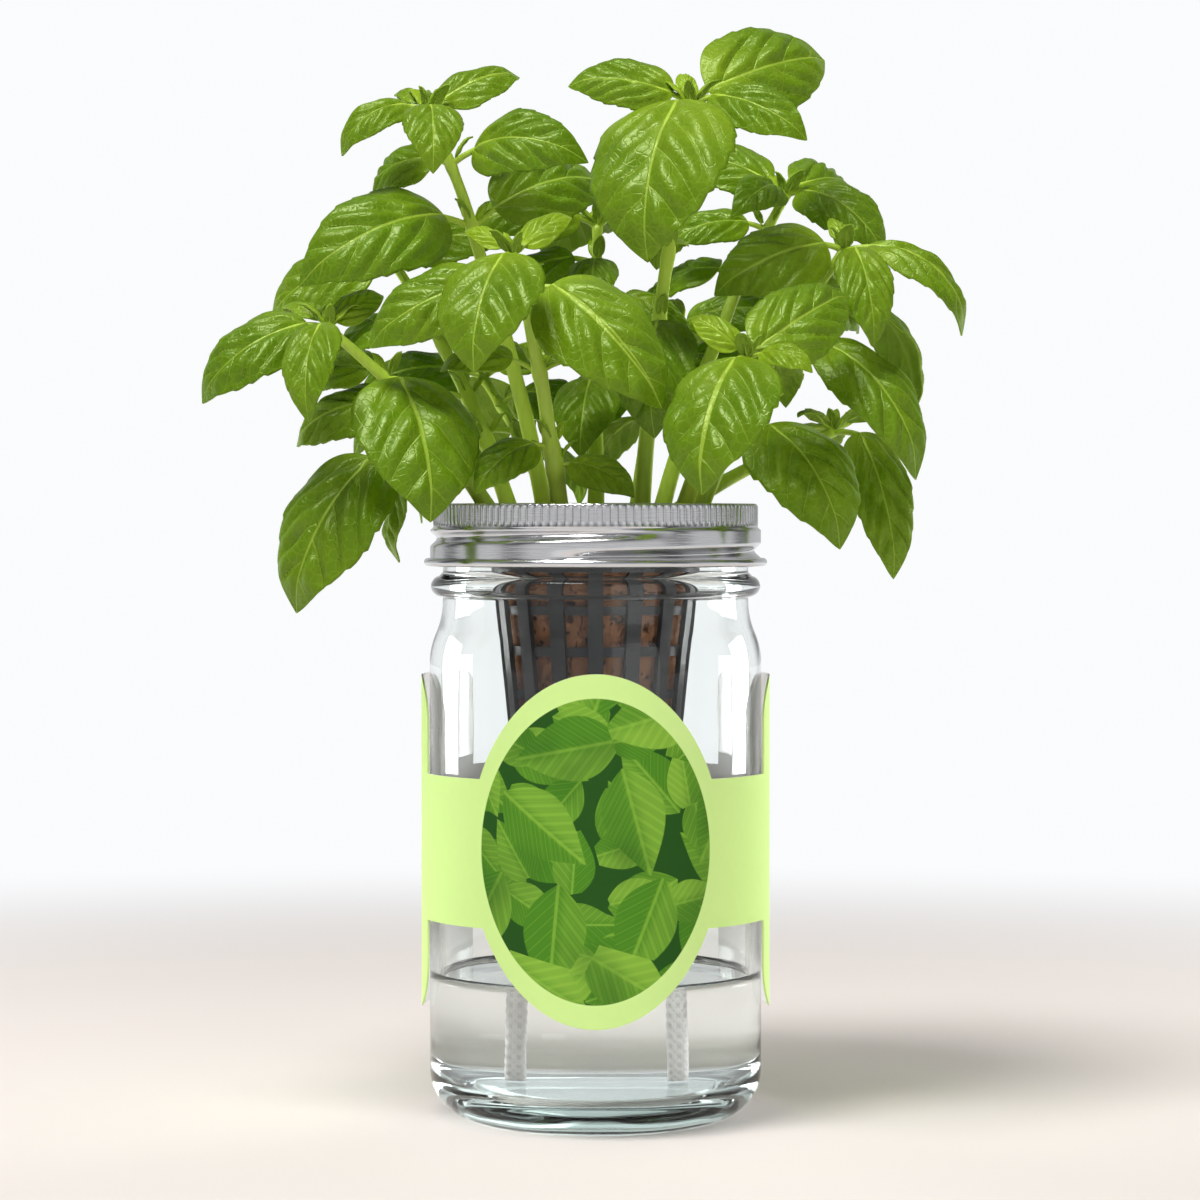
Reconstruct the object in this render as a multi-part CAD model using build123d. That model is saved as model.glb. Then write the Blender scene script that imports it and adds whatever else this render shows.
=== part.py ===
"""Hydroponic jar planter: wide-mouth screw-band jar, net cup, growing plug, wicks, card sleeve, herb plant.

Millimetres, +Z up, +Y to the back. The origin is the centre of the ring the jar stands on.
"""

import os
from collections import namedtuple
from math import asin, cos, degrees, pi, radians, sin, sqrt

from build123d import *

# Glass jar
JAR_R = 44.8
JAR_WALL = 3.0
JAR_HEEL_R = 13.8
JAR_INNER_HEEL_R = 11.0
JAR_FOOT_WIDTH = 2.4
JAR_PUSH_UP = 2.2
JAR_PUSH_UP_SLOPE = 3.5
JAR_BASE_THICK = 7.0
JAR_SHOULDER_Z = 122.5
JAR_SHOULDER_HEIGHT = 17.5
JAR_SHOULDER_PULL = 0.55
JAR_NECK_R = 41.2
JAR_BEAD_Z = 143.8
JAR_BEAD_R = 43.9
JAR_BEAD_HALF = 2.9
JAR_RIM_Z = 164.0
JAR_RIM_ROUND = 1.0

# Screw thread, right-handed
THREAD_PITCH = 6.35
THREAD_TURNS = 1.25
THREAD_HEIGHT = 1.7
THREAD_ROOT_HALF = 1.5
THREAD_CREST_HALF = 0.7
THREAD_TOP_Z = 160.4
THREAD_TOP_ANGLE = 285.0
THREAD_SINK = 0.4

# Screw band of pressed sheet
BAND_SHEET = 0.5
BAND_SIDE_GAP = 0.3
BAND_LIP_REACH = 4.6
BAND_KNURL_HEIGHT = 5.4
BAND_KNURL_COUNT = 130
BAND_KNURL_DEPTH = 0.35
BAND_KNURL_CREST_SHARE = 0.45
BAND_SKIRT_STEP = 0.9
BAND_CURL_R = 1.1
BAND_CURL_Z = 150.3
BAND_RIDGE_TURNS = 1.05
BAND_RIDGE_DROP = 2.0
BAND_RIDGE_CREST_R = 42.2
BAND_RIDGE_CREST_HALF = 0.7
BAND_RIDGE_ROOT_HALF = 2.2
BAND_RIDGE_END_WALL = 0.012

# Net cup of moulded plastic
CUP_FLANGE_R = 42.9
CUP_FLANGE_T = 1.5
CUP_WALL = 1.5
CUP_THROAT_R = 36.5
CUP_THROAT_DEPTH = 14.0
CUP_BASKET_R = 28.3
CUP_BASKET_DEPTH = 61.0
CUP_BASKET_FLOOR_R = 21.6
CUP_RIB_COUNT = 16
CUP_RIB_WIDTH = 4.0
CUP_RIB_T = 1.4
CUP_RING_T = 1.4
CUP_RING_SET_BACK = 1.0
CUP_RING_HEIGHT = 2.4
CUP_RING_PITCH = 11.2
CUP_RING_COUNT = 5
CUP_FLOOR_T = 1.8
CUP_SLOT_COUNT = 8
CUP_SLOT_OFFSET = 0.5
CUP_SLOT_WIDTH = 2.6
CUP_SLOT_INNER_R = 4.0
CUP_SLOT_OUTER_R = 9.0

# Growing plug of pressed fibre
PLUG_CLEARANCE = 0.4
PLUG_TOP_DROP = 4.0
PLUG_POCKET_CLEARANCE = 0.6
PLUG_POCKET_DEPTH = 12.0

# Wicks of braided cord
WICK_R = 2.3
WICK_SQUEEZE = 0.1
WICK_HOLE_X = 13.5
WICK_POCKET_END_GAP = 1.0
WICK_FLOOR_GAP = 0.8
WICK_SWAY_SHARE = 0.45
WICK_LEFT_END = (-17.0, -5.0)
WICK_RIGHT_END = (17.6, -6.0)

# Water standing in the jar
WATER_LEVEL_Z = 39.3
WATER_WICK_GAP = 1.8

# Card sleeve, slightly oval so that it grips front and back
SLEEVE_CARD_T = 0.45
SLEEVE_GRIP_GAP = 0.15
SLEEVE_SIDE_GAP = 1.75
SLEEVE_STRIP_Z = 55.0
SLEEVE_STRIP_HEIGHT = 39.0
SLEEVE_OVAL_Z = 75.8
SLEEVE_OVAL_HALF_WIDTH = 33.0
SLEEVE_OVAL_HALF_HEIGHT = 46.0
SLEEVE_PANEL_WIDTH = 42.0
SLEEVE_PANEL_HEIGHT = 89.5
SLEEVE_PANEL_Z = 30.5
SLEEVE_PANEL_FRONT_ROUND = 12.0
SLEEVE_PANEL_REAR_ROUND = 3.0
SLEEVE_PANEL_ANGLE = 10.0

# Herb plant
STEM_FOOT_R = 2.5
STEM_TOP_R = 1.3
STEM_BOW_SIDE = 0.35
STEM_BOW_UP = 0.55
STEM_ROOT_LENGTH = 5.0
STEM_KNOT_SWELL = 1.2
LEAF_T = 0.6
LEAF_CUP = 0.14
LEAF_TRIM = 1.2
LEAF_SHOULDER = (0.0, 0.74)
LEAF_CHEEK = (0.70, 0.70)
LEAF_OUTLINE_SAMPLES = 50
PETIOLE_R = 0.65
PETIOLE_TIP_R = 0.6
PETIOLE_LET_IN = 1.0
PETIOLE_REACH = 1.5
PETIOLE_RISE = 35.0
PETIOLE_FOLLOW = 0.5

# Each leaf: height share on its stem, compass heading, pitch, length, roll, width share, droop share, stalk
Leaf = namedtuple("Leaf", "at heading pitch length roll wide droop stalk")
Shoot = namedtuple("Shoot", "foot tip leaves")

SHOOTS = [
    Shoot((-13, 3), (-44.5, -5, 271), [
        Leaf(1.00, -165, -36, 23, -40, 0.58, 0.24, 6),
        Leaf(1.00, 24, 20, 25, 40, 0.60, 0.14, 4),
        Leaf(1.00, -85, -50, 25, 0, 0.66, 0.20, 7),
        Leaf(1.00, 110, 5, 20, 0, 0.58, 0.20, 4),
        Leaf(0.86, -22, -7, 33, 62, 0.64, 0.24, 8),
        Leaf(0.86, 140, -20, 25, -60, 0.64, 0.20, 6),
        Leaf(0.70, -157, -25, 45, -55, 0.64, 0.20, 9),
        Leaf(0.70, 35, 12, 38, 50, 0.64, 0.18, 9),
    ]),
    Shoot((12, -3), (25.5, -10, 272), [
        Leaf(1.00, -113, -62, 49, 0, 0.82, 0.15, 10),
        Leaf(1.00, 30, 16, 40, 62, 0.72, 0.10, 7),
        Leaf(1.00, 170, 6, 29, -58, 0.58, 0.12, 6),
        Leaf(1.00, -31, -24, 31, 48, 0.56, 0.14, 7),
        Leaf(1.00, 101, 38, 11, 0, 0.54, 0.12, 4),
        Leaf(0.46, -95, -66, 34, 10, 0.70, 0.18, 10),
        Leaf(0.62, 95, -10, 24, 0, 0.62, 0.18, 8),
    ]),
    Shoot((-26, -8), (-70.5, -20, 212), [
        Leaf(1.00, -176, -36, 35, -50, 0.62, 0.18, 6),
        Leaf(1.00, -98, -56, 31, 6, 0.50, 0.18, 10),
        Leaf(1.00, 35, 27, 17, 45, 0.58, 0.14, 3),
        Leaf(1.00, 125, 8, 20, 0, 0.58, 0.18, 4),
        Leaf(0.72, -64, -60, 43, 5, 0.80, 0.13, 9),
        Leaf(0.72, 135, -10, 25, -50, 0.60, 0.18, 7),
        Leaf(0.54, 160, -22, 30, -52, 0.64, 0.18, 10),
        Leaf(0.30, -163, -62, 46, -40, 0.68, 0.15, 24),
    ]),
    Shoot((-9, -17), (-21.5, -35, 230), [
        Leaf(1.00, -112, -56, 37, 0, 0.78, 0.15, 6),
        Leaf(1.00, 28, 30, 17, 40, 0.58, 0.12, 4),
        Leaf(1.00, 150, 22, 13, -40, 0.54, 0.12, 4),
        Leaf(0.86, -178, -28, 36, -56, 0.64, 0.15, 9),
        Leaf(0.86, -25, -45, 45, 45, 0.66, 0.15, 9),
        Leaf(0.55, 172, -8, 20, -40, 0.64, 0.16, 8),
        Leaf(0.55, 42, -15, 25, 6, 0.64, 0.18, 8),
        Leaf(0.27, -148, -36, 22, -35, 0.66, 0.16, 6),
        Leaf(0.20, -20, -26, 20, 45, 0.64, 0.16, 5),
    ]),
    Shoot((22, -15), (39.5, -40, 203), [
        Leaf(1.00, -120, -60, 40, 0, 0.82, 0.15, 7),
        Leaf(1.00, 32, 28, 33, 55, 0.70, 0.11, 4),
        Leaf(1.00, 156, 33, 16, -50, 0.58, 0.12, 4),
        Leaf(1.00, -40, -18, 17, 40, 0.54, 0.16, 5),
    ]),
    Shoot((26.5, 0), (67, 0, 234), [
        Leaf(1.00, -165, -24, 34, -56, 0.68, 0.15, 6),
        Leaf(1.00, -4, -42, 35, 30, 0.52, 0.24, 7),
        Leaf(1.00, -72, -62, 30, 10, 0.52, 0.18, 8),
        Leaf(1.00, 100, 35, 13, 20, 0.56, 0.12, 3),
        Leaf(0.84, 30, -57, 42, 8, 0.62, 0.22, 9),
        Leaf(0.62, -25, -52, 46, 32, 0.52, 0.20, 13),
        Leaf(0.55, 75, -28, 24, 0, 0.62, 0.18, 7),
        Leaf(0.32, -42, -52, 41, 22, 0.74, 0.16, 13),
    ]),
    Shoot((17, 13), (53, 35, 252), [
        Leaf(1.00, 150, 12, 30, -45, 0.62, 0.18, 6),
        Leaf(1.00, -30, -36, 32, 40, 0.60, 0.20, 5),
        Leaf(1.00, 55, 0, 30, 50, 0.62, 0.18, 5),
        Leaf(1.00, -125, -22, 24, -40, 0.58, 0.20, 5),
        Leaf(0.72, 35, -25, 38, 55, 0.68, 0.18, 9),
        Leaf(0.72, 140, -20, 30, -35, 0.64, 0.16, 9),
        Leaf(0.88, -172, -16, 23, -45, 0.64, 0.14, 6),
    ]),
    Shoot((17, 6), (66, 30, 186), [
        Leaf(1.00, -45, -72, 42, 30, 0.44, 0.14, 10),
        Leaf(1.00, 40, -10, 30, 0, 0.62, 0.18, 6),
        Leaf(1.00, 110, -30, 34, 0, 0.62, 0.16, 7),
        Leaf(1.00, 225, 10, 12, 0, 0.58, 0.18, 4),
    ]),
    Shoot((0, 17), (0.5, 32, 243), [
        Leaf(1.00, -170, -6, 31, -50, 0.64, 0.14, 6),
        Leaf(1.00, 12, 12, 25, 40, 0.62, 0.16, 5),
        Leaf(1.00, 110, -15, 36, 0, 0.68, 0.16, 6),
        Leaf(1.00, -72, 28, 12, 0, 0.56, 0.16, 4),
        Leaf(0.72, 4, -34, 23, 40, 0.66, 0.16, 8),
        Leaf(0.72, 160, -15, 30, -40, 0.66, 0.16, 8),
        Leaf(0.45, 80, -25, 28, 0, 0.66, 0.16, 8),
        Leaf(0.45, -100, -50, 28, 0, 0.68, 0.16, 8),
        Leaf(0.86, -95, -45, 21, 0, 0.66, 0.15, 7),
        Leaf(0.86, 175, -28, 27, -45, 0.64, 0.15, 7),
    ]),
    Shoot((-22, 10), (-56, 30, 233), [
        Leaf(1.00, 175, -30, 34, -50, 0.72, 0.15, 6),
        Leaf(1.00, 8, 8, 28, 48, 0.64, 0.14, 5),
        Leaf(1.00, 95, 0, 32, 0, 0.64, 0.18, 5),
        Leaf(1.00, -75, 25, 16, 0, 0.58, 0.18, 4),
        Leaf(0.72, 145, -25, 36, -35, 0.66, 0.16, 9),
        Leaf(0.66, 28, -25, 24, 40, 0.64, 0.16, 8),
        Leaf(0.45, -175, -35, 30, -40, 0.66, 0.16, 8),
        Leaf(0.30, -172, -80, 32, -10, 0.60, 0.12, 20),
        Leaf(0.86, -30, -30, 26, 45, 0.64, 0.15, 7),
    ]),
    Shoot((11, 21), (22, 62, 216), [
        Leaf(1.00, 80, -52, 42, 0, 0.72, 0.15, 6),
        Leaf(1.00, -5, 0, 30, 45, 0.62, 0.15, 5),
        Leaf(1.00, 168, -5, 28, -45, 0.62, 0.15, 5),
        Leaf(1.00, -88, 25, 12, 0, 0.56, 0.15, 4),
        Leaf(0.60, 35, -35, 32, 30, 0.66, 0.18, 8),
        Leaf(0.50, 130, -50, 26, 0, 0.64, 0.18, 8),
        Leaf(0.88, -105, -20, 22, 0, 0.62, 0.15, 8),
        Leaf(0.80, -25, -22, 28, 45, 0.66, 0.15, 8),
    ]),
    Shoot((-11, 19), (-32, 62, 202), [
        Leaf(1.00, 105, -52, 40, 0, 0.72, 0.15, 6),
        Leaf(1.00, 15, 12, 22, 40, 0.60, 0.15, 5),
        Leaf(1.00, 190, -10, 32, -45, 0.62, 0.15, 5),
        Leaf(1.00, -80, 15, 14, 0, 0.58, 0.15, 4),
        Leaf(0.60, 165, -50, 34, -30, 0.66, 0.18, 8),
        Leaf(0.50, 40, -50, 22, 0, 0.62, 0.18, 7),
        Leaf(0.80, -40, -18, 26, 45, 0.64, 0.15, 8),
    ]),
]

# Sizes that follow from the ones above
BIG = 400.0
JAR_FOOT_R = JAR_R - JAR_HEEL_R
JAR_FLOOR_Z = JAR_PUSH_UP + JAR_BASE_THICK
JAR_INNER_R = JAR_R - JAR_WALL
JAR_MOUTH_R = JAR_NECK_R - JAR_WALL
THREAD_CREST_R = JAR_NECK_R + THREAD_HEIGHT
CUP_TOP_Z = JAR_RIM_Z + CUP_FLANGE_T
CUP_THROAT_Z = JAR_RIM_Z - CUP_THROAT_DEPTH
CUP_BOTTOM_Z = CUP_THROAT_Z - CUP_BASKET_DEPTH
CUP_FLOOR_TOP_Z = CUP_BOTTOM_Z + CUP_FLOOR_T
CUP_INSET = CUP_RING_SET_BACK + CUP_RING_T
PLUG_TOP_Z = JAR_RIM_Z - PLUG_TOP_DROP
PLUG_POCKET_Z = CUP_FLOOR_TOP_Z + PLUG_POCKET_DEPTH
BAND_INNER_R = CUP_FLANGE_R + BAND_SIDE_GAP
BAND_OUTER_R = BAND_INNER_R + BAND_SHEET
BAND_SKIRT_R = BAND_OUTER_R + BAND_SKIRT_STEP
BAND_TOP_Z = CUP_TOP_Z + BAND_SHEET
BAND_KNURL_Z = BAND_TOP_Z - BAND_SHEET - BAND_KNURL_HEIGHT
SLEEVE_GRIP_R = JAR_R + SLEEVE_GRIP_GAP
SLEEVE_SIDE_R = JAR_R + SLEEVE_SIDE_GAP
MIN3 = (Align.CENTER, Align.CENTER, Align.MIN)


def turned(*lines):
    """Solid of revolution about Z from a closed run of lines drawn in the XZ plane."""
    edges = [edge for line in lines for edge in line.edges()]
    return revolve(Plane.XZ * make_face(edges), Axis.Z)


def cone_radius(z):
    """Outside radius of the cup at a height, in the throat or in the basket."""
    if z > CUP_THROAT_Z:
        share = (z - CUP_THROAT_Z) / CUP_THROAT_DEPTH
        return CUP_BASKET_R + (CUP_THROAT_R - CUP_BASKET_R) * share
    share = (CUP_THROAT_Z - z) / CUP_BASKET_DEPTH
    return CUP_BASKET_R + (CUP_BASKET_FLOOR_R - CUP_BASKET_R) * share


def cone_shell(z_low, z_high, inset, thick):
    """Tapered wall of the cup between two heights, set in from its outside."""
    r_low = cone_radius(z_low) - inset
    r_high = cone_radius(z_high) - inset
    height = z_high - z_low
    outer = Cone(r_low, r_high, height, align=MIN3)
    inner = Cone(r_low - thick, r_high - thick, height, align=MIN3)
    return Pos(0, 0, z_low) * (outer - inner)


def helix_ridge(root_r, root_half, crest_r, crest_half, turns, top_z, top_angle):
    """Trapezoid ridge wound on a right-hand helix that ends at a height and an angle."""
    rise = THREAD_PITCH * turns
    path = Helix(THREAD_PITCH, rise, root_r)
    plane = Plane(origin=path @ 0, x_dir=(1, 0, 0), z_dir=path % 0)
    reach = crest_r - root_r
    corners = [(0, -root_half), (reach, -crest_half), (reach, crest_half), (0, root_half)]
    section = plane * make_face(Polyline(*corners, close=True))
    ridge = sweep(section, path, is_frenet=True)
    start_angle = top_angle - 360 * turns
    return Pos(0, 0, top_z - rise) * (Rot(0, 0, start_angle) * ridge)


def inner_edges(top_z):
    """Edges of the jar's inside from the axis at the floor up to a height on its straight wall."""
    heel_start = (JAR_INNER_R - JAR_INNER_HEEL_R, JAR_FLOOR_Z)
    heel_end = (JAR_INNER_R, JAR_FLOOR_Z + JAR_INNER_HEEL_R)
    centre = (heel_start[0], heel_end[1])
    return [
        Line((0, JAR_FLOOR_Z), heel_start),
        CenterArc(centre, JAR_INNER_HEEL_R, -90, 90),
        Line(heel_end, (JAR_INNER_R, top_z)),
    ]


def make_jar():
    """Jar with a pushed-up base, a rounded heel, a bead under the band and a screw thread."""
    neck_z = JAR_SHOULDER_Z + JAR_SHOULDER_HEIGHT
    pull = JAR_SHOULDER_HEIGHT * JAR_SHOULDER_PULL
    foot_in = JAR_FOOT_R - JAR_FOOT_WIDTH
    heel_end = (JAR_R, JAR_HEEL_R)
    bead_low = (JAR_NECK_R, JAR_BEAD_Z - JAR_BEAD_HALF)
    bead_high = (JAR_NECK_R, JAR_BEAD_Z + JAR_BEAD_HALF)
    round_z = JAR_RIM_Z - JAR_RIM_ROUND
    outside = [
        Line((0, JAR_FLOOR_Z), (0, JAR_PUSH_UP)),
        Line((0, JAR_PUSH_UP), (foot_in - JAR_PUSH_UP_SLOPE, JAR_PUSH_UP)),
        Line((foot_in - JAR_PUSH_UP_SLOPE, JAR_PUSH_UP), (foot_in, 0)),
        Line((foot_in, 0), (JAR_FOOT_R, 0)),
        CenterArc((JAR_FOOT_R, JAR_HEEL_R), JAR_HEEL_R, -90, 90),
        Line(heel_end, (JAR_R, JAR_SHOULDER_Z)),
        Bezier(
            (JAR_R, JAR_SHOULDER_Z),
            (JAR_R, JAR_SHOULDER_Z + pull),
            (JAR_NECK_R, neck_z - pull),
            (JAR_NECK_R, neck_z),
        ),
        Line((JAR_NECK_R, neck_z), bead_low),
        ThreePointArc(bead_low, (JAR_BEAD_R, JAR_BEAD_Z), bead_high),
        Line(bead_high, (JAR_NECK_R, round_z)),
        CenterArc((JAR_NECK_R - JAR_RIM_ROUND, round_z), JAR_RIM_ROUND, 0, 90),
        Line((JAR_NECK_R - JAR_RIM_ROUND, JAR_RIM_Z), (JAR_MOUTH_R + JAR_RIM_ROUND, JAR_RIM_Z)),
        CenterArc((JAR_MOUTH_R + JAR_RIM_ROUND, round_z), JAR_RIM_ROUND, 90, 90),
        Line((JAR_MOUTH_R, round_z), (JAR_MOUTH_R, neck_z)),
        Bezier(
            (JAR_MOUTH_R, neck_z),
            (JAR_MOUTH_R, neck_z - pull),
            (JAR_INNER_R, JAR_SHOULDER_Z + pull),
            (JAR_INNER_R, JAR_SHOULDER_Z),
        ),
    ]
    jar = turned(*outside, *inner_edges(JAR_SHOULDER_Z))
    thread = helix_ridge(
        JAR_NECK_R - THREAD_SINK,
        THREAD_ROOT_HALF,
        THREAD_CREST_R,
        THREAD_CREST_HALF,
        THREAD_TURNS,
        THREAD_TOP_Z,
        THREAD_TOP_ANGLE,
    )
    return jar + thread


def wick_path(end):
    """Centre line of a wick from its plug pocket to the jar floor."""
    side = WICK_HOLE_X if end[0] > 0 else -WICK_HOLE_X
    top = (side, 0, PLUG_POCKET_Z - WICK_POCKET_END_GAP)
    neck = (side, 0, CUP_BOTTOM_Z)
    foot = (end[0], end[1], JAR_FLOOR_Z + WICK_FLOOR_GAP)
    pull = (CUP_BOTTOM_Z - foot[2]) * WICK_SWAY_SHARE
    run = Line(top, neck)
    hang = Bezier(neck, (side, 0, CUP_BOTTOM_Z - pull), (end[0], end[1], foot[2] + pull), foot)
    return Wire([run, hang])


def make_wick(end, radius):
    """Round cord along a wick's centre line."""
    path = wick_path(end)
    section = Plane(origin=path @ 0, z_dir=path % 0) * Circle(radius)
    return sweep(section, path)


def make_water():
    """Water that fills the foot of the jar, with room round the wicks for their travel."""
    water = turned(
        *inner_edges(WATER_LEVEL_Z),
        Line((JAR_INNER_R, WATER_LEVEL_Z), (0, WATER_LEVEL_Z)),
        Line((0, WATER_LEVEL_Z), (0, JAR_FLOOR_Z)),
    )
    for end in (WICK_LEFT_END, WICK_RIGHT_END):
        room = WICK_R + WATER_WICK_GAP
        foot = Cylinder(room, WICK_FLOOR_GAP, align=MIN3)
        water = water - make_wick(end, room) - Pos(end[0], end[1], JAR_FLOOR_Z) * foot
    return water


def knurl_ring():
    """Ring with a fine row of upright ridges on its outside."""
    step = 2 * pi / BAND_KNURL_COUNT
    half_crest = step * BAND_KNURL_CREST_SHARE / 2
    crest_r = BAND_OUTER_R + BAND_KNURL_DEPTH / 2
    root_r = BAND_OUTER_R - BAND_KNURL_DEPTH / 2
    outline = []
    for index in range(BAND_KNURL_COUNT):
        angle = index * step
        for offset, radius in ((-half_crest, crest_r), (half_crest, crest_r), (step / 2, root_r)):
            outline.append((radius * cos(angle + offset), radius * sin(angle + offset)))
    face = make_face(Polyline(*outline, close=True)) - Circle(BAND_INNER_R)
    return Pos(0, 0, BAND_KNURL_Z) * extrude(face, BAND_KNURL_HEIGHT)


def make_band():
    """Screw band: lip, knurled wall, skirt with a rolled-in ridge, and a curled lower edge."""
    opening_r = CUP_FLANGE_R - BAND_LIP_REACH
    skirt_in = BAND_SKIRT_R - BAND_SHEET
    step_z = BAND_KNURL_Z
    skirt_top = step_z - BAND_SKIRT_STEP
    curl_r = skirt_in + BAND_CURL_R
    lip = turned(
        Polyline(
            (opening_r, CUP_TOP_Z),
            (BAND_OUTER_R, CUP_TOP_Z),
            (BAND_OUTER_R, BAND_TOP_Z),
            (opening_r, BAND_TOP_Z),
            close=True,
        )
    )
    skirt = turned(
        Polyline(
            (BAND_INNER_R, step_z + BAND_SHEET),
            (BAND_INNER_R, step_z),
            (skirt_in, skirt_top),
            (skirt_in, BAND_CURL_Z),
            (BAND_SKIRT_R, BAND_CURL_Z),
            (BAND_SKIRT_R, skirt_top),
            (BAND_OUTER_R - BAND_KNURL_DEPTH, step_z + BAND_SHEET / 2),
            (BAND_OUTER_R - BAND_KNURL_DEPTH, step_z + BAND_SHEET),
            close=True,
        )
    )
    curl = Pos(0, 0, BAND_CURL_Z) * Torus(curl_r, BAND_CURL_R)
    ridge_top_z = THREAD_TOP_Z - BAND_RIDGE_DROP
    ridge = helix_ridge(
        skirt_in + BAND_SHEET / 2,
        BAND_RIDGE_ROOT_HALF,
        BAND_RIDGE_CREST_R,
        BAND_RIDGE_CREST_HALF,
        BAND_RIDGE_TURNS,
        ridge_top_z,
        THREAD_TOP_ANGLE,
    )
    trim = BAND_RIDGE_END_WALL
    valley = helix_ridge(
        BAND_SKIRT_R + BAND_SHEET,
        BAND_RIDGE_ROOT_HALF + BAND_SHEET / 2,
        BAND_RIDGE_CREST_R + BAND_SHEET,
        BAND_RIDGE_CREST_HALF,
        BAND_RIDGE_TURNS - 2 * trim,
        ridge_top_z - trim * THREAD_PITCH,
        THREAD_TOP_ANGLE - 360 * trim,
    )
    wall = skirt + ridge
    wall = wall - valley
    return lip + knurl_ring() + wall + curl


def make_cup():
    """Net cup: flange on the jar rim, tapered throat, ribbed basket and slotted floor."""
    flange_in = CUP_THROAT_R - CUP_WALL
    flange = Pos(0, 0, JAR_RIM_Z) * extrude(Circle(CUP_FLANGE_R) - Circle(flange_in), CUP_FLANGE_T)
    throat = cone_shell(CUP_THROAT_Z, JAR_RIM_Z + CUP_FLANGE_T / 2, 0, CUP_WALL)
    collar = cone_shell(CUP_THROAT_Z - CUP_RING_HEIGHT, CUP_THROAT_Z, 0, CUP_INSET)
    bar = Rectangle(BIG, CUP_RIB_WIDTH)
    bars = Sketch() + [Rot(0, 0, 360 * i / CUP_RIB_COUNT) * bar for i in range(CUP_RIB_COUNT // 2)]
    ribs = cone_shell(CUP_BOTTOM_Z, CUP_THROAT_Z, 0, CUP_RIB_T)
    ribs = ribs & (Pos(0, 0, CUP_BOTTOM_Z) * extrude(bars, CUP_BASKET_DEPTH))
    cup = flange + throat + collar + ribs
    for index in range(CUP_RING_COUNT):
        top = CUP_THROAT_Z - CUP_RING_HEIGHT - CUP_RING_PITCH * index
        low = top - CUP_RING_PITCH
        if low > CUP_BOTTOM_Z:
            cup = cup + cone_shell(low, low + CUP_RING_HEIGHT, CUP_RING_SET_BACK, CUP_RING_T)
    floor_r = cone_radius(CUP_BOTTOM_Z)
    floor_top_r = cone_radius(CUP_FLOOR_TOP_Z)
    floor = Pos(0, 0, CUP_BOTTOM_Z) * Cone(floor_r, floor_top_r, CUP_FLOOR_T, align=MIN3)
    slot_length = CUP_SLOT_OUTER_R - CUP_SLOT_INNER_R
    slot_mid = (CUP_SLOT_OUTER_R + CUP_SLOT_INNER_R) / 2
    for index in range(CUP_SLOT_COUNT):
        slot = Pos(slot_mid, 0) * Rectangle(slot_length, CUP_SLOT_WIDTH)
        turn = Rot(0, 0, 360 * (index + CUP_SLOT_OFFSET) / CUP_SLOT_COUNT)
        floor = floor - Pos(0, 0, CUP_BOTTOM_Z) * extrude(turn * slot, CUP_FLOOR_T)
    for side in (-WICK_HOLE_X, WICK_HOLE_X):
        hole = Pos(side, 0, CUP_BOTTOM_Z) * Cylinder(WICK_R - WICK_SQUEEZE, CUP_FLOOR_T, align=MIN3)
        floor = floor - hole
    return cup + floor


def make_plug():
    """Plug that fills the cup, with a blind pocket over each wick."""
    gap = CUP_INSET + PLUG_CLEARANCE
    top_r = cone_radius(PLUG_TOP_Z) - CUP_WALL - PLUG_CLEARANCE
    plug = turned(
        Polyline(
            (0, CUP_FLOOR_TOP_Z),
            (cone_radius(CUP_FLOOR_TOP_Z) - gap, CUP_FLOOR_TOP_Z),
            (cone_radius(CUP_THROAT_Z) - gap, CUP_THROAT_Z),
            (top_r, PLUG_TOP_Z),
            (0, PLUG_TOP_Z),
            close=True,
        )
    )
    for side in (-WICK_HOLE_X, WICK_HOLE_X):
        pocket = Cylinder(WICK_R + PLUG_POCKET_CLEARANCE, PLUG_POCKET_DEPTH, align=MIN3)
        plug = plug - Pos(side, 0, CUP_FLOOR_TOP_Z) * pocket
    return plug


def make_sleeve():
    """Card sleeve cut to a front oval, a strip all round and a tall panel at each side."""
    outer = Ellipse(SLEEVE_SIDE_R + SLEEVE_CARD_T, SLEEVE_GRIP_R + SLEEVE_CARD_T)
    inner = Ellipse(SLEEVE_SIDE_R, SLEEVE_GRIP_R)
    tube = extrude(outer - inner, SLEEVE_OVAL_Z + SLEEVE_OVAL_HALF_HEIGHT)
    strip = Pos(0, 0, SLEEVE_STRIP_Z) * Box(BIG, BIG, SLEEVE_STRIP_HEIGHT, align=MIN3)
    oval_face = Plane.XZ * (Pos(0, SLEEVE_OVAL_Z) * Ellipse(SLEEVE_OVAL_HALF_WIDTH, SLEEVE_OVAL_HALF_HEIGHT))
    oval = extrude(oval_face, BIG)
    mid_z = SLEEVE_PANEL_Z + SLEEVE_PANEL_HEIGHT / 2
    panel = Rectangle(SLEEVE_PANEL_WIDTH, SLEEVE_PANEL_HEIGHT)
    front_corners = panel.vertices().group_by(Axis.X)[0]
    panel = fillet(front_corners, SLEEVE_PANEL_FRONT_ROUND)
    rear_corners = panel.vertices().group_by(Axis.X)[-1]
    panel = fillet(rear_corners, SLEEVE_PANEL_REAR_ROUND)
    right_face = Plane.YZ * (Pos(0, mid_z) * panel)
    right = Rot(0, 0, SLEEVE_PANEL_ANGLE) * extrude(right_face, BIG)
    left = mirror(right, about=Plane.YZ)
    return tube & (oval + strip + right + left)


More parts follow.
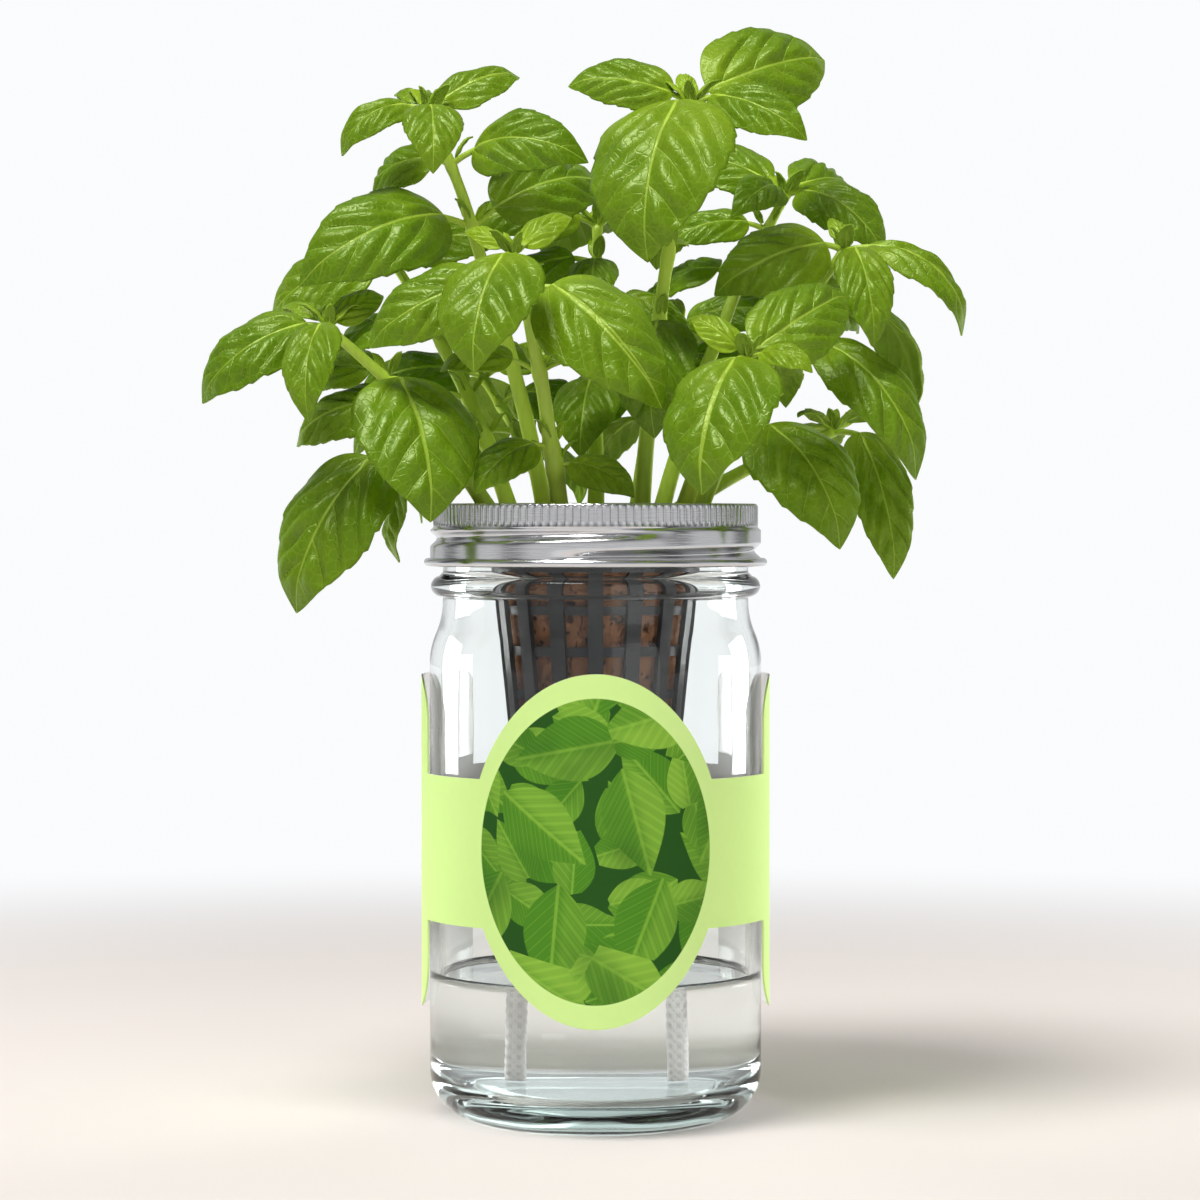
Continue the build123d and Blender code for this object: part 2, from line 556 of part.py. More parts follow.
def stem_point(shoot, share):
    """Point on a stem's bowed centre line at a share of its length, and the line's control points."""
    foot = Vector(shoot.foot[0], shoot.foot[1], PLUG_TOP_Z)
    tip = Vector(*shoot.tip)
    run = tip - foot
    bow = foot + Vector(run.X * STEM_BOW_SIDE, run.Y * STEM_BOW_SIDE, run.Z * STEM_BOW_UP)
    rest = 1 - share
    point = foot * (rest * rest) + bow * (2 * share * rest) + tip * (share * share)
    return point, (foot, bow, tip)


def stem_radius(share):
    """Stem radius at a share of its length."""
    return STEM_FOOT_R + (STEM_TOP_R - STEM_FOOT_R) * share


def heading_vector(heading, pitch):
    """Unit vector at a compass heading and a pitch, in degrees."""
    flat = cos(radians(pitch))
    return Vector(flat * cos(radians(heading)), flat * sin(radians(heading)), sin(radians(pitch)))


def leaf_base(shoot, leaf):
    """Where a leaf leaves its stem, the way its stalk points, and where its blade begins."""
    joint, _ = stem_point(shoot, leaf.at)
    rise = PETIOLE_RISE + PETIOLE_FOLLOW * leaf.pitch
    stalk_dir = heading_vector(leaf.heading, rise)
    return joint, stalk_dir, joint + stalk_dir * leaf.stalk


def make_stem(shoot):
    """Tapered stem with a knot at each pair of leaves, cut flat where it leaves the plug."""
    _, (foot, bow, tip) = stem_point(shoot, 0)
    path = Bezier(foot, bow, tip)
    low = Plane(origin=path @ 0, z_dir=path % 0)
    high = Plane(origin=path @ 1, z_dir=path % 1)
    stem = sweep([low * Circle(STEM_FOOT_R), high * Circle(STEM_TOP_R)], path, multisection=True)
    root = low * (Pos(0, 0, -STEM_ROOT_LENGTH) * Cylinder(STEM_FOOT_R, STEM_ROOT_LENGTH, align=MIN3))
    stem = stem + root
    for share in sorted({leaf.at for leaf in shoot.leaves}):
        point, _ = stem_point(shoot, share)
        stem = stem + Pos(point) * Sphere(stem_radius(share) * STEM_KNOT_SWELL)
    below = Pos(0, 0, PLUG_TOP_Z - BIG) * Box(BIG, BIG, BIG, align=MIN3)
    return stem - below


def leaf_outline(length, half_width):
    """Pointed oval outline of a leaf from its base to its tip."""
    shares = [step / LEAF_OUTLINE_SAMPLES for step in range(LEAF_OUTLINE_SAMPLES + 1)]
    peak = max(3 * t * (1 - t) * ((1 - t) * LEAF_SHOULDER[1] + t * LEAF_CHEEK[1]) for t in shares)
    sides = []
    for sign in (1, -1):
        scale = sign * half_width / peak
        shoulder = (LEAF_SHOULDER[0] * length, LEAF_SHOULDER[1] * scale)
        cheek = (LEAF_CHEEK[0] * length, LEAF_CHEEK[1] * scale)
        sides.append(Bezier((0, 0), shoulder, cheek, (length, 0)))
    return make_face(Wire(sides))


def arc_radius(half_chord, height):
    """Radius of the arc that rises by a height over a chord."""
    return (half_chord**2 + height**2) / (2 * height)


def make_blade(leaf):
    """Leaf blade arched along its length and cupped across it, lying along X from the origin."""
    half_width = leaf.wide * leaf.length / 2
    arch = leaf.droop * leaf.length
    cup = LEAF_CUP * leaf.wide * leaf.length
    arch_r = arc_radius(leaf.length / 2, arch)
    cup_r = arc_radius(half_width, cup)
    spread = LEAF_TRIM * degrees(asin(min(half_width / cup_r, 1 / LEAF_TRIM)))
    centre = (0, arch - cup_r)
    over = CenterArc(centre, cup_r + LEAF_T / 2, 90 - spread, 2 * spread)
    under = CenterArc(centre, cup_r - LEAF_T / 2, 90 - spread, 2 * spread)
    ends = [Line(over @ 0, under @ 0), Line(over @ 1, under @ 1)]
    section = Pos(leaf.length / 2, 0, 0) * (Plane.YZ * make_face(Wire([over, ends[0], under, ends[1]])))
    axis = Axis((leaf.length / 2, 0, arch - arch_r), (0, 1, 0))
    sweep_angle = 2 * LEAF_TRIM * degrees(asin(min(leaf.length / 2 / arch_r, 1 / LEAF_TRIM)))
    shell = revolve(section.rotate(axis, -sweep_angle / 2), axis, sweep_angle)
    outline = leaf_outline(leaf.length, half_width)
    prism = extrude(outline, leaf.length, both=True)
    return shell & prism


def leaf_plane(shoot, leaf):
    """Place of a leaf blade: X along its chord, Z out of its upper face."""
    _, _, base = leaf_base(shoot, leaf)
    chord = heading_vector(leaf.heading, leaf.pitch)
    face_up = heading_vector(leaf.heading, leaf.pitch + 90)
    return Plane(origin=base, x_dir=chord, z_dir=face_up).location * Rot(leaf.roll, 0, 0)


def make_stalk(shoot, leaf):
    """Stalk from inside the stem to the underside of the blade near its base."""
    joint, stalk_dir, _ = leaf_base(shoot, leaf)
    arch_r = arc_radius(leaf.length / 2, leaf.droop * leaf.length)
    back = leaf.length / 2 - PETIOLE_REACH
    rise = leaf.droop * leaf.length - arch_r + sqrt(arch_r**2 - back**2)
    root = joint + stalk_dir * (stem_radius(leaf.at) * PETIOLE_LET_IN)
    end = (leaf_plane(shoot, leaf) * Pos(PETIOLE_REACH, 0, rise - LEAF_T / 2)).position
    reach = end - root
    return Plane(origin=root, z_dir=reach) * Cone(PETIOLE_R, PETIOLE_TIP_R, reach.length, align=MIN3)


def make_leaf(shoot, leaf):
    """One leaf, a blade and its stalk, in place with the stalk let into its stem."""
    return leaf_plane(shoot, leaf) * make_blade(leaf) + make_stalk(shoot, leaf)


def make_leaves(shoot):
    """All leaf blades of one stem, each a solid of its own."""
    return Compound([make_leaf(shoot, leaf).solid() for leaf in shoot.leaves])


def write(node, shape):
    """Write one node's solids to its own file."""
    solids = shape.solids()
    whole = solids[0] if len(solids) == 1 else Compound(solids)
    export_step(whole, "parts/" + node + ".step")


def main():
    os.makedirs("parts", exist_ok=True)
    write("glass_jar", make_jar())
    write("reservoir_water", make_water())
    write("screw_band", make_band())
    write("net_cup", make_cup())
    write("growing_plug", make_plug())
    write("wick_left", make_wick(WICK_LEFT_END, WICK_R))
    write("wick_right", make_wick(WICK_RIGHT_END, WICK_R))
    write("label_sleeve", make_sleeve())
    for number, shoot in enumerate(SHOOTS, start=1):
        write(f"basil_stem_{number:02d}", make_stem(shoot))
        write(f"basil_leaves_{number:02d}", make_leaves(shoot))


if __name__ == "__main__":
    main()
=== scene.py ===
"""Looks of a hydroponic jar planter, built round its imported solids.

Metres, +Z up, +Y to the back. Shapes are drawn in millimetres, and each piece is brought to metres
as it is finished.
"""

from collections import namedtuple
from math import atan2, cos, degrees, exp, floor, hypot, pi, radians, sin, sqrt

import bmesh
import bpy
from bpy.props import FloatProperty, FloatVectorProperty, IntProperty, PointerProperty
from bpy.types import Operator, Panel, PropertyGroup
from mathutils import Matrix, Vector, noise


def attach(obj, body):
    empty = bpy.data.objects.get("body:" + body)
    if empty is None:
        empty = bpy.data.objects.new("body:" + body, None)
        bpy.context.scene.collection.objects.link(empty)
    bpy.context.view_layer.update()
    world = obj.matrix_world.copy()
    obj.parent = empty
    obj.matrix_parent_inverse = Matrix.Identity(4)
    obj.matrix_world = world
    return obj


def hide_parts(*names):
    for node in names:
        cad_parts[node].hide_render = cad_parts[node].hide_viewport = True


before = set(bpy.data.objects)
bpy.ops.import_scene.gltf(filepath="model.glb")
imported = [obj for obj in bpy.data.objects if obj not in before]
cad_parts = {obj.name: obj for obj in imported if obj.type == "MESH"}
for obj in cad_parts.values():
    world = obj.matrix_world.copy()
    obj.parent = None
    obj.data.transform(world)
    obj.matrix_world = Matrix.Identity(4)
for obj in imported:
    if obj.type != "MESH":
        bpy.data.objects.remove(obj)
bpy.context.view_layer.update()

bl_info = {
    "name": "Hydroponic Jar Planter",
    "version": (1, 0, 0),
    "blender": (4, 5, 0),
    "location": "View3D > Sidebar > Planter",
    "description": "Builds a self-watering herb jar: glass, band, cup, wicks, card sleeve and plant",
    "category": "Add Mesh",
}

MM = 0.001
FULL_TURN = 2 * pi
WELD = 0.0005

# Places shared with the solids, in millimetres
JAR_R = 44.8
JAR_INNER_R = 41.8
JAR_NECK_R = 41.2
JAR_MOUTH_R = 38.2
JAR_FLOOR_Z = 9.2
JAR_PUSH_UP = 2.2
JAR_PUSH_UP_R = 24.4
JAR_FOOT_SLOPE = ((25.1, 2.0), (28.1, 0.2), (28.6, 0.0))
JAR_HEEL_R = 31.0
JAR_HEEL_ROUND = 13.8
JAR_INNER_HEEL_R = 30.8
JAR_INNER_HEEL_Z = 20.2
JAR_BODY_TOP_Z = 122.5
JAR_SHOULDER_ROUND = 22.17
JAR_SHOULDER_ANGLE = 23.25
JAR_NECK_FOOT_Z = 140.0
JAR_BEAD_R = 41.6
JAR_BEAD_Z = 143.8
JAR_BEAD_ANGLE = 172.0
JAR_BEAD_FOOT_Z = 140.3
JAR_FILLET_R = 41.9
JAR_FILLET_Z = 140.5
JAR_FILLET_ANGLE = 60.0
JAR_NECK_BARE_Z = 147.5
JAR_RIM_ROUND = 1.0
JAR_RIM_Z = 164.0
THREAD_PITCH = 6.35
THREAD_TOP_ANGLE = 285.0
THREAD_TURNS = 1.25
THREAD_TOP_Z = 160.4
THREAD_HEIGHT = 1.7
THREAD_ROOT_HALF = 1.5
THREAD_CREST_HALF = 0.7
THREAD_FADE = 0.06
PLUG_TOP_Z = 160.0

# Each leaf: height share on its stem, compass heading, pitch, length, roll, width share, droop share, stalk.
# Each shoot: the foot and the tip of its stem, then its leaves.
Leaf = namedtuple("Leaf", "at heading pitch length roll wide droop stalk")
Shoot = namedtuple("Shoot", "foot tip leaves")


def grow(foot, tip, *rows):
    """One shoot, from the rows of its leaves."""
    return Shoot(foot, tip, [Leaf(*row) for row in rows])


SHOOTS = [
    grow(
        (-13, 3), (-44.5, -5, 271),
        (1, -165, -36, 23, -40, 0.58, 0.24, 6), (1, 24, 20, 25, 40, 0.6, 0.14, 4),
        (1, -85, -50, 25, 0, 0.66, 0.2, 7), (1, 110, 5, 20, 0, 0.58, 0.2, 4),
        (0.86, -22, -7, 33, 62, 0.64, 0.24, 8), (0.86, 140, -20, 25, -60, 0.64, 0.2, 6),
        (0.7, -157, -25, 45, -55, 0.64, 0.2, 9), (0.7, 35, 12, 38, 50, 0.64, 0.18, 9),
    ),
    grow(
        (12, -3), (25.5, -10, 272),
        (1, -113, -62, 49, 0, 0.82, 0.15, 10), (1, 30, 16, 40, 62, 0.72, 0.1, 7),
        (1, 170, 6, 29, -58, 0.58, 0.12, 6), (1, -31, -24, 31, 48, 0.56, 0.14, 7),
        (1, 101, 38, 11, 0, 0.54, 0.12, 4), (0.46, -95, -66, 34, 10, 0.7, 0.18, 10),
        (0.62, 95, -10, 24, 0, 0.62, 0.18, 8),
    ),
    grow(
        (-26, -8), (-70.5, -20, 212),
        (1, -176, -36, 35, -50, 0.62, 0.18, 6), (1, -98, -56, 31, 6, 0.5, 0.18, 10),
        (1, 35, 27, 17, 45, 0.58, 0.14, 3), (1, 125, 8, 20, 0, 0.58, 0.18, 4),
        (0.72, -64, -60, 43, 5, 0.8, 0.13, 9), (0.72, 135, -10, 25, -50, 0.6, 0.18, 7),
        (0.54, 160, -22, 30, -52, 0.64, 0.18, 10), (0.3, -163, -62, 46, -40, 0.68, 0.15, 24),
    ),
    grow(
        (-9, -17), (-21.5, -35, 230),
        (1, -112, -56, 37, 0, 0.78, 0.15, 6), (1, 28, 30, 17, 40, 0.58, 0.12, 4),
        (1, 150, 22, 13, -40, 0.54, 0.12, 4), (0.86, -178, -28, 36, -56, 0.64, 0.15, 9),
        (0.86, -25, -45, 45, 45, 0.66, 0.15, 9), (0.55, 172, -8, 20, -40, 0.64, 0.16, 8),
        (0.55, 42, -15, 25, 6, 0.64, 0.18, 8), (0.27, -148, -36, 22, -35, 0.66, 0.16, 6),
        (0.2, -20, -26, 20, 45, 0.64, 0.16, 5),
    ),
    grow(
        (22, -15), (39.5, -40, 203),
        (1, -120, -60, 40, 0, 0.82, 0.15, 7), (1, 32, 28, 33, 55, 0.7, 0.11, 4),
        (1, 156, 33, 16, -50, 0.58, 0.12, 4), (1, -40, -18, 17, 40, 0.54, 0.16, 5),
    ),
    grow(
        (26.5, 0), (67, 0, 234),
        (1, -165, -24, 34, -56, 0.68, 0.15, 6), (1, -4, -42, 35, 30, 0.52, 0.24, 7),
        (1, -72, -62, 30, 10, 0.52, 0.18, 8), (1, 100, 35, 13, 20, 0.56, 0.12, 3),
        (0.84, 30, -57, 42, 8, 0.62, 0.22, 9), (0.62, -25, -52, 46, 32, 0.52, 0.2, 13),
        (0.55, 75, -28, 24, 0, 0.62, 0.18, 7), (0.32, -42, -52, 41, 22, 0.74, 0.16, 13),
    ),
    grow(
        (17, 13), (53, 35, 252),
        (1, 150, 12, 30, -45, 0.62, 0.18, 6), (1, -30, -36, 32, 40, 0.6, 0.2, 5),
        (1, 55, 0, 30, 50, 0.62, 0.18, 5), (1, -125, -22, 24, -40, 0.58, 0.2, 5),
        (0.72, 35, -25, 38, 55, 0.68, 0.18, 9), (0.72, 140, -20, 30, -35, 0.64, 0.16, 9),
        (0.88, -172, -16, 23, -45, 0.64, 0.14, 6),
    ),
    grow(
        (17, 6), (66, 30, 186),
        (1, -45, -72, 42, 30, 0.44, 0.14, 10), (1, 40, -10, 30, 0, 0.62, 0.18, 6),
        (1, 110, -30, 34, 0, 0.62, 0.16, 7), (1, 225, 10, 12, 0, 0.58, 0.18, 4),
    ),
    grow(
        (0, 17), (0.5, 32, 243),
        (1, -170, -6, 31, -50, 0.64, 0.14, 6), (1, 12, 12, 25, 40, 0.62, 0.16, 5),
        (1, 110, -15, 36, 0, 0.68, 0.16, 6), (1, -72, 28, 12, 0, 0.56, 0.16, 4),
        (0.72, 4, -34, 23, 40, 0.66, 0.16, 8), (0.72, 160, -15, 30, -40, 0.66, 0.16, 8),
        (0.45, 80, -25, 28, 0, 0.66, 0.16, 8), (0.45, -100, -50, 28, 0, 0.68, 0.16, 8),
        (0.86, -95, -45, 21, 0, 0.66, 0.15, 7), (0.86, 175, -28, 27, -45, 0.64, 0.15, 7),
    ),
    grow(
        (-22, 10), (-56, 30, 233),
        (1, 175, -30, 34, -50, 0.72, 0.15, 6), (1, 8, 8, 28, 48, 0.64, 0.14, 5),
        (1, 95, 0, 32, 0, 0.64, 0.18, 5), (1, -75, 25, 16, 0, 0.58, 0.18, 4),
        (0.72, 145, -25, 36, -35, 0.66, 0.16, 9), (0.66, 28, -25, 24, 40, 0.64, 0.16, 8),
        (0.45, -175, -35, 30, -40, 0.66, 0.16, 8), (0.3, -172, -80, 32, -10, 0.6, 0.12, 20),
        (0.86, -30, -30, 26, 45, 0.64, 0.15, 7),
    ),
    grow(
        (11, 21), (22, 62, 216),
        (1, 80, -52, 42, 0, 0.72, 0.15, 6), (1, -5, 0, 30, 45, 0.62, 0.15, 5),
        (1, 168, -5, 28, -45, 0.62, 0.15, 5), (1, -88, 25, 12, 0, 0.56, 0.15, 4),
        (0.6, 35, -35, 32, 30, 0.66, 0.18, 8), (0.5, 130, -50, 26, 0, 0.64, 0.18, 8),
        (0.88, -105, -20, 22, 0, 0.62, 0.15, 8), (0.8, -25, -22, 28, 45, 0.66, 0.15, 8),
    ),
    grow(
        (-11, 19), (-32, 62, 202),
        (1, 105, -52, 40, 0, 0.72, 0.15, 6), (1, 15, 12, 22, 40, 0.6, 0.15, 5),
        (1, 190, -10, 32, -45, 0.62, 0.15, 5), (1, -80, 15, 14, 0, 0.58, 0.15, 4),
        (0.6, 165, -50, 34, -30, 0.66, 0.18, 8), (0.5, 40, -50, 22, 0, 0.62, 0.18, 7),
        (0.8, -40, -18, 26, 45, 0.64, 0.15, 8),
    ),
]


def colour(name, default, description):
    """Colour property of a look."""
    return FloatVectorProperty(
        name=name, description=description, default=default, size=3, min=0.0, max=1.0, subtype="COLOR"
    )


def amount(name, default, description, unit="NONE"):
    """Number property of a look."""
    return FloatProperty(name=name, description=description, default=default, unit=unit)


class PlantLook(PropertyGroup):
    """Sizes and colours of the herb plant."""

    upper: colour("Upper face", (0.090, 0.182, 0.002), "Upper face of a grown leaf")
    young: colour("Young leaf", (0.29, 0.43, 0.016), "Upper face of a young leaf")
    gloss: colour("Gloss", (0.80, 0.95, 0.42), "Tint of the light mirrored by the upper face")
    under: colour("Under face", (0.26, 0.40, 0.034), "Paler underside of a leaf")
    vein: colour("Vein", (0.37, 0.52, 0.058), "Midrib and side veins")
    stem: colour("Stem", (0.46, 0.64, 0.055), "Green part of a stem")
    foot: colour("Stem foot", (0.20, 0.125, 0.05), "Woody foot of a stem")
    pucker: amount("Pucker", 0.046, "Bulge between veins, share of leaf length")
    groove: amount("Groove", 0.020, "Depth of the midrib, share of leaf length")
    ruffle: amount("Ruffle", 0.018, "Wave of the leaf edge, share of leaf length")
    tooth: amount("Tooth", 0.055, "Edge teeth, share of leaf width")
    curl: amount("Tip curl", 0.05, "Downward curl of the tip, share of length")
    thick: amount("Thickness", 0.00045, "Leaf thickness", "LENGTH")
    rows: IntProperty(name="Rows", description="Mesh rows along a leaf", default=60, min=12)
    columns: IntProperty(name="Columns", description="Mesh columns across a leaf", default=32, min=8)


class JarLook(PropertyGroup):
    """Colours of the jar, band, cup, plug and wicks."""

    glass: colour("Glass", (0.97, 0.985, 0.98), "Clear jar glass")
    mirror: colour("Glass mirror", (0.35, 0.35, 0.35), "Strength of the mirror image in the glass")
    depth_tint: colour("Glass depth", (0.64, 0.79, 0.75), "Tint that thick glass takes")
    depth_density: amount("Tint density", 16.0, "How fast thick glass tints")
    water: colour("Water", (0.985, 0.995, 1.0), "Standing water")
    tinplate: colour("Tinplate", (0.70, 0.70, 0.71), "Pressed screw band")
    plastic: colour("Cup plastic", (0.017, 0.017, 0.018), "Moulded net cup")
    cork: colour("Plug", (0.195, 0.092, 0.046), "Pressed fibre of the plug")
    # Own dark colour of the fibres, also painted into the pits as shade
    cork_dark_and_pit_shade: colour("Plug pits", (0.025, 0.013, 0.008), "Pits and dark fibres of the plug")
    cotton: colour("Wick", (0.94, 0.94, 0.925), "Braided wick cord")


class SleeveLook(PropertyGroup):
    """Colours of the card sleeve."""

    card: colour("Card", (0.66, 0.91, 0.315), "Printed card face")
    inside: colour("Card inside", (0.90, 0.87, 0.855), "Bare inner face of the card")
    print_dark: colour("Print shade", (0.015, 0.080, 0.007), "Darkest green of the print")
    print_mid: colour("Print leaf", (0.068, 0.235, 0.012), "Middle green of the print")
    print_light: colour("Print light", (0.285, 0.53, 0.056), "Lightest green of the print")


class StageLook(PropertyGroup):
    """Floor, background and light levels."""

    floor: colour("Floor", (0.80, 0.74, 0.70), "Pale floor")
    background: colour("Background", (0.96, 0.97, 0.98), "Backdrop seen by the camera")
    key: amount("Key", 25.0, "Power of the overhead light", "POWER")
    fill: amount("Fill", 5.5, "Power of the front light", "POWER")
    rim: amount("Rim", 3.0, "Power of the light from behind", "POWER")
    side: amount("Sides", 1.8, "Power of each low side light", "POWER")
    ambient: amount("Ambient", 0.10, "Strength of the light from all round")
    card: amount("Dark cards", 0.8, "Depth of the upright dark cards that edge the glass")


class Wiring:
    """Adds and links the nodes of one material, group or world."""

    def __init__(self, tree):
        self.tree = tree

    def feed(self, socket, value):
        """Links a socket to another, or sets its value."""
        if isinstance(value, bpy.types.NodeSocket):
            self.tree.links.new(value, socket)
        else:
            socket.default_value = value

    def add(self, kind, inputs=None, **settings):
        """New node with its settings and inputs."""
        node = self.tree.nodes.new(kind if kind.startswith("NodeGroup") else "ShaderNode" + kind)
        for name, value in settings.items():
            setattr(node, name, value)
        for name, value in (inputs or {}).items():
            self.feed(node.inputs[name], value)
        return node

    def math(self, operation, first, second=0.0, third=0.0):
        """Result of a Math node."""
        node = self.add("Math", {0: first, 1: second, 2: third}, operation=operation)
        return node.outputs[0]

    def times(self, first, second):
        """Product of two values."""
        return self.math("MULTIPLY", first, second)

    def plus(self, first, second):
        """Sum of two values."""
        return self.math("ADD", first, second)

    def scaled(self, value, gain, base):
        """Value times a gain, plus a base."""
        return self.math("MULTIPLY_ADD", value, gain, base)

    def rest(self, value):
        """What a value leaves of one."""
        return self.math("SUBTRACT", 1.0, value)

    def square_sum(self, first, second):
        """Sum of two squares."""
        return self.plus(self.times(first, first), self.times(second, second))

    def step(self, value, low, high):
        """Smooth step of a value from 0 at low to 1 at high."""
        inputs = {"Value": value, "From Min": low, "From Max": high}
        return self.add("MapRange", inputs, interpolation_type="SMOOTHSTEP").outputs[0]

    def mix(self, factor, first, second, blend="MIX"):
        """Mixed colour."""
        inputs = {0: factor, 6: rgba(first), 7: rgba(second)}
        return self.add("Mix", inputs, data_type="RGBA", blend_type=blend).outputs[2]

    def attribute(self, name):
        """Value of a piece's own attribute."""
        return self.add("Attribute", attribute_name=name).outputs["Fac"]

    def place(self):
        """Object coordinates."""
        return self.add("TexCoord").outputs["Object"]

    def split(self, vector):
        """Three parts of a vector."""
        return self.add("SeparateXYZ", {0: vector}).outputs

    def noise(self, vector, scale, detail=3.0, roughness=0.5):
        """Noise value."""
        inputs = {"Vector": vector, "Scale": scale, "Detail": detail, "Roughness": roughness}
        return self.add("TexNoise", inputs).outputs["Fac"]

    def place_group(self, tree, inputs):
        """Placed node group with its own values."""
        node = self.tree.nodes.new("ShaderNodeGroup")
        node.node_tree = tree
        for name, value in inputs.items():
            self.feed(node.inputs[name], value)
        return node.outputs

    def relief(self, shader, height, strength, distance):
        """Feeds a shader's normal from a height."""
        inputs = {"Height": height, "Strength": strength, "Distance": distance}
        self.feed(shader["Normal"], self.add("Bump", inputs).outputs[0])

    def grain(self, scale):
        """Fine grain at a scale."""
        return self.place_group(grain_group(), {"Scale": scale})

    def roughen(self, shader, value, gain, base):
        """Feeds a shader's roughness from a value."""
        self.feed(shader["Roughness"], self.scaled(value, gain, base))


def rgba(value):
    """Colour with an alpha, or a socket as it is."""
    if isinstance(value, bpy.types.NodeSocket):
        return value
    return (*value[:3], 1.0)


def new_group(name, inputs, outputs):
    """Shader node group with named value sockets, and its wiring."""
    tree = bpy.data.node_groups.new(name, "ShaderNodeTree")
    for label, kind in inputs.items():
        tree.interface.new_socket(label, in_out="INPUT", socket_type=kind)
    for label, kind in outputs.items():
        tree.interface.new_socket(label, in_out="OUTPUT", socket_type=kind)
    wiring = Wiring(tree)
    entry = wiring.add("NodeGroupInput") if inputs else None
    leave = wiring.add("NodeGroupOutput")
    return tree, wiring, entry, leave


def blend_surface(wiring, factor, first, second, output):
    """Mixes two shaders into an output."""
    blend = wiring.add("MixShader", {0: factor, 1: first.outputs[0], 2: second.outputs[0]})
    wiring.feed(output.inputs["Surface"], blend.outputs[0])


def new_finish(name):
    """Material with its Principled shader and wiring."""
    finish = bpy.data.materials.new(name)
    finish.use_nodes = True
    shader = finish.node_tree.nodes["Principled BSDF"]
    return finish, shader.inputs, Wiring(finish.node_tree)


def set_plain(shader, values):
    """Sets the values that are the same all over a surface."""
    for name, value in values.items():
        shader[name].default_value = value


def let_light_through(shader):
    """Thin leaf flesh that glows when lit from behind."""
    glow = {"Subsurface Weight": 0.12, "Subsurface Radius": (0.6, 1.0, 0.15), "Subsurface Scale": 0.0012}
    set_plain(shader, glow)


def grain_group():
    """Fine grain shared by plastic, card, cork, cord and stems."""
    known = bpy.data.node_groups.get("fine_grain")
    if known:
        return known
    outputs = {"Shade": "NodeSocketFloat", "Height": "NodeSocketFloat"}
    tree, wiring, entry, leave = new_group("fine_grain", {"Scale": "NodeSocketFloat"}, outputs)
    place = wiring.place()
    coarse = wiring.noise(place, entry.outputs["Scale"], detail=2.0)
    fine_scale = wiring.times(entry.outputs["Scale"], 6.0)
    fine = wiring.noise(place, fine_scale, detail=4.0, roughness=0.7)
    wiring.feed(leave.inputs["Shade"], coarse)
    height = wiring.plus(coarse, wiring.times(fine, 0.6))
    wiring.feed(leave.inputs["Height"], height)
    return tree


def vein_group():
    """Midrib, side veins and fine network of a leaf, from the attributes of its blade."""
    known = bpy.data.node_groups.get("leaf_veins")
    if known:
        return known
    outputs = {"Rib": "NodeSocketFloat", "Veins": "NodeSocketFloat", "Net": "NodeSocketFloat"}
    tree, wiring, _, leave = new_group("leaf_veins", {}, outputs)
    side = wiring.math("ABSOLUTE", wiring.attribute("vein_side"))
    along = wiring.attribute("vein_along")
    rib_width = wiring.scaled(along, -0.036, 0.048)
    rib = wiring.rest(wiring.step(wiring.math("DIVIDE", side, rib_width), 0.35, 1.0))
    phase = wiring.math("FRACT", wiring.attribute("vein_phase"))
    ridge = wiring.math("ABSOLUTE", wiring.scaled(phase, 2.0, -1.0))
    vein = wiring.step(ridge, 0.90, 0.985)
    wiring.feed(leave.inputs["Rib"], rib)
    wiring.feed(leave.inputs["Veins"], wiring.times(vein, wiring.attribute("vein_strength")))
    cells = wiring.add("TexVoronoi", {"Vector": wiring.place(), "Scale": 430.0}, feature="DISTANCE_TO_EDGE")
    net = wiring.rest(wiring.step(cells.outputs["Distance"], 0.0, 0.14))
    wiring.feed(leave.inputs["Net"], net)
    return tree


def leaf_finish(look):
    """Glossy upper face of a leaf, yellower at its base and when young."""
    finish, shader, wiring = new_finish("leaf_upper")
    veins = wiring.place_group(vein_group(), {})
    grain = wiring.grain(45.0)
    base = wiring.math("SUBTRACT", 0.30, wiring.times(wiring.attribute("vein_along"), 0.75))
    fresh = wiring.plus(wiring.attribute("tone"), wiring.math("MAXIMUM", base, 0.0))
    tone = wiring.plus(fresh, wiring.scaled(grain["Shade"], 0.6, -0.30))
    body = wiring.mix(wiring.step(tone, -0.1, 1.1), look.upper, look.young)
    body = wiring.mix(wiring.times(veins["Net"], 0.10), body, look.vein)
    body = wiring.mix(wiring.times(veins["Veins"], 0.30), body, look.vein)
    body = wiring.mix(wiring.times(veins["Rib"], 0.62), body, look.vein)
    wiring.feed(shader["Base Color"], body)
    wiring.roughen(shader, grain["Shade"], 0.18, 0.27)
    lines = wiring.math("MAXIMUM", veins["Rib"], veins["Veins"])
    height = wiring.scaled(lines, -0.7, wiring.times(veins["Net"], -0.20))
    height = wiring.scaled(grain["Height"], 0.16, height)
    wiring.relief(shader, height, strength=0.55, distance=0.0005)
    set_plain(shader, {"Specular IOR Level": 0.50, "Specular Tint": rgba(look.gloss)})
    let_light_through(shader)
    return finish


def under_finish(look):
    """Paler, duller underside of a leaf with its veins standing out."""
    finish, shader, wiring = new_finish("leaf_under")
    veins = wiring.place_group(vein_group(), {})
    grain = wiring.grain(60.0)
    lines = wiring.math("MAXIMUM", veins["Rib"], veins["Veins"])
    body = wiring.mix(wiring.times(lines, 0.6), look.under, look.vein)
    body = wiring.mix(wiring.times(grain["Shade"], 0.40), body, look.upper)
    wiring.feed(shader["Base Color"], body)
    wiring.roughen(shader, grain["Shade"], 0.2, 0.48)
    height = wiring.scaled(lines, 0.9, wiring.times(veins["Net"], 0.2))
    wiring.relief(shader, height, strength=0.6, distance=0.0005)
    shader["Specular IOR Level"].default_value = 0.25
    let_light_through(shader)
    return finish


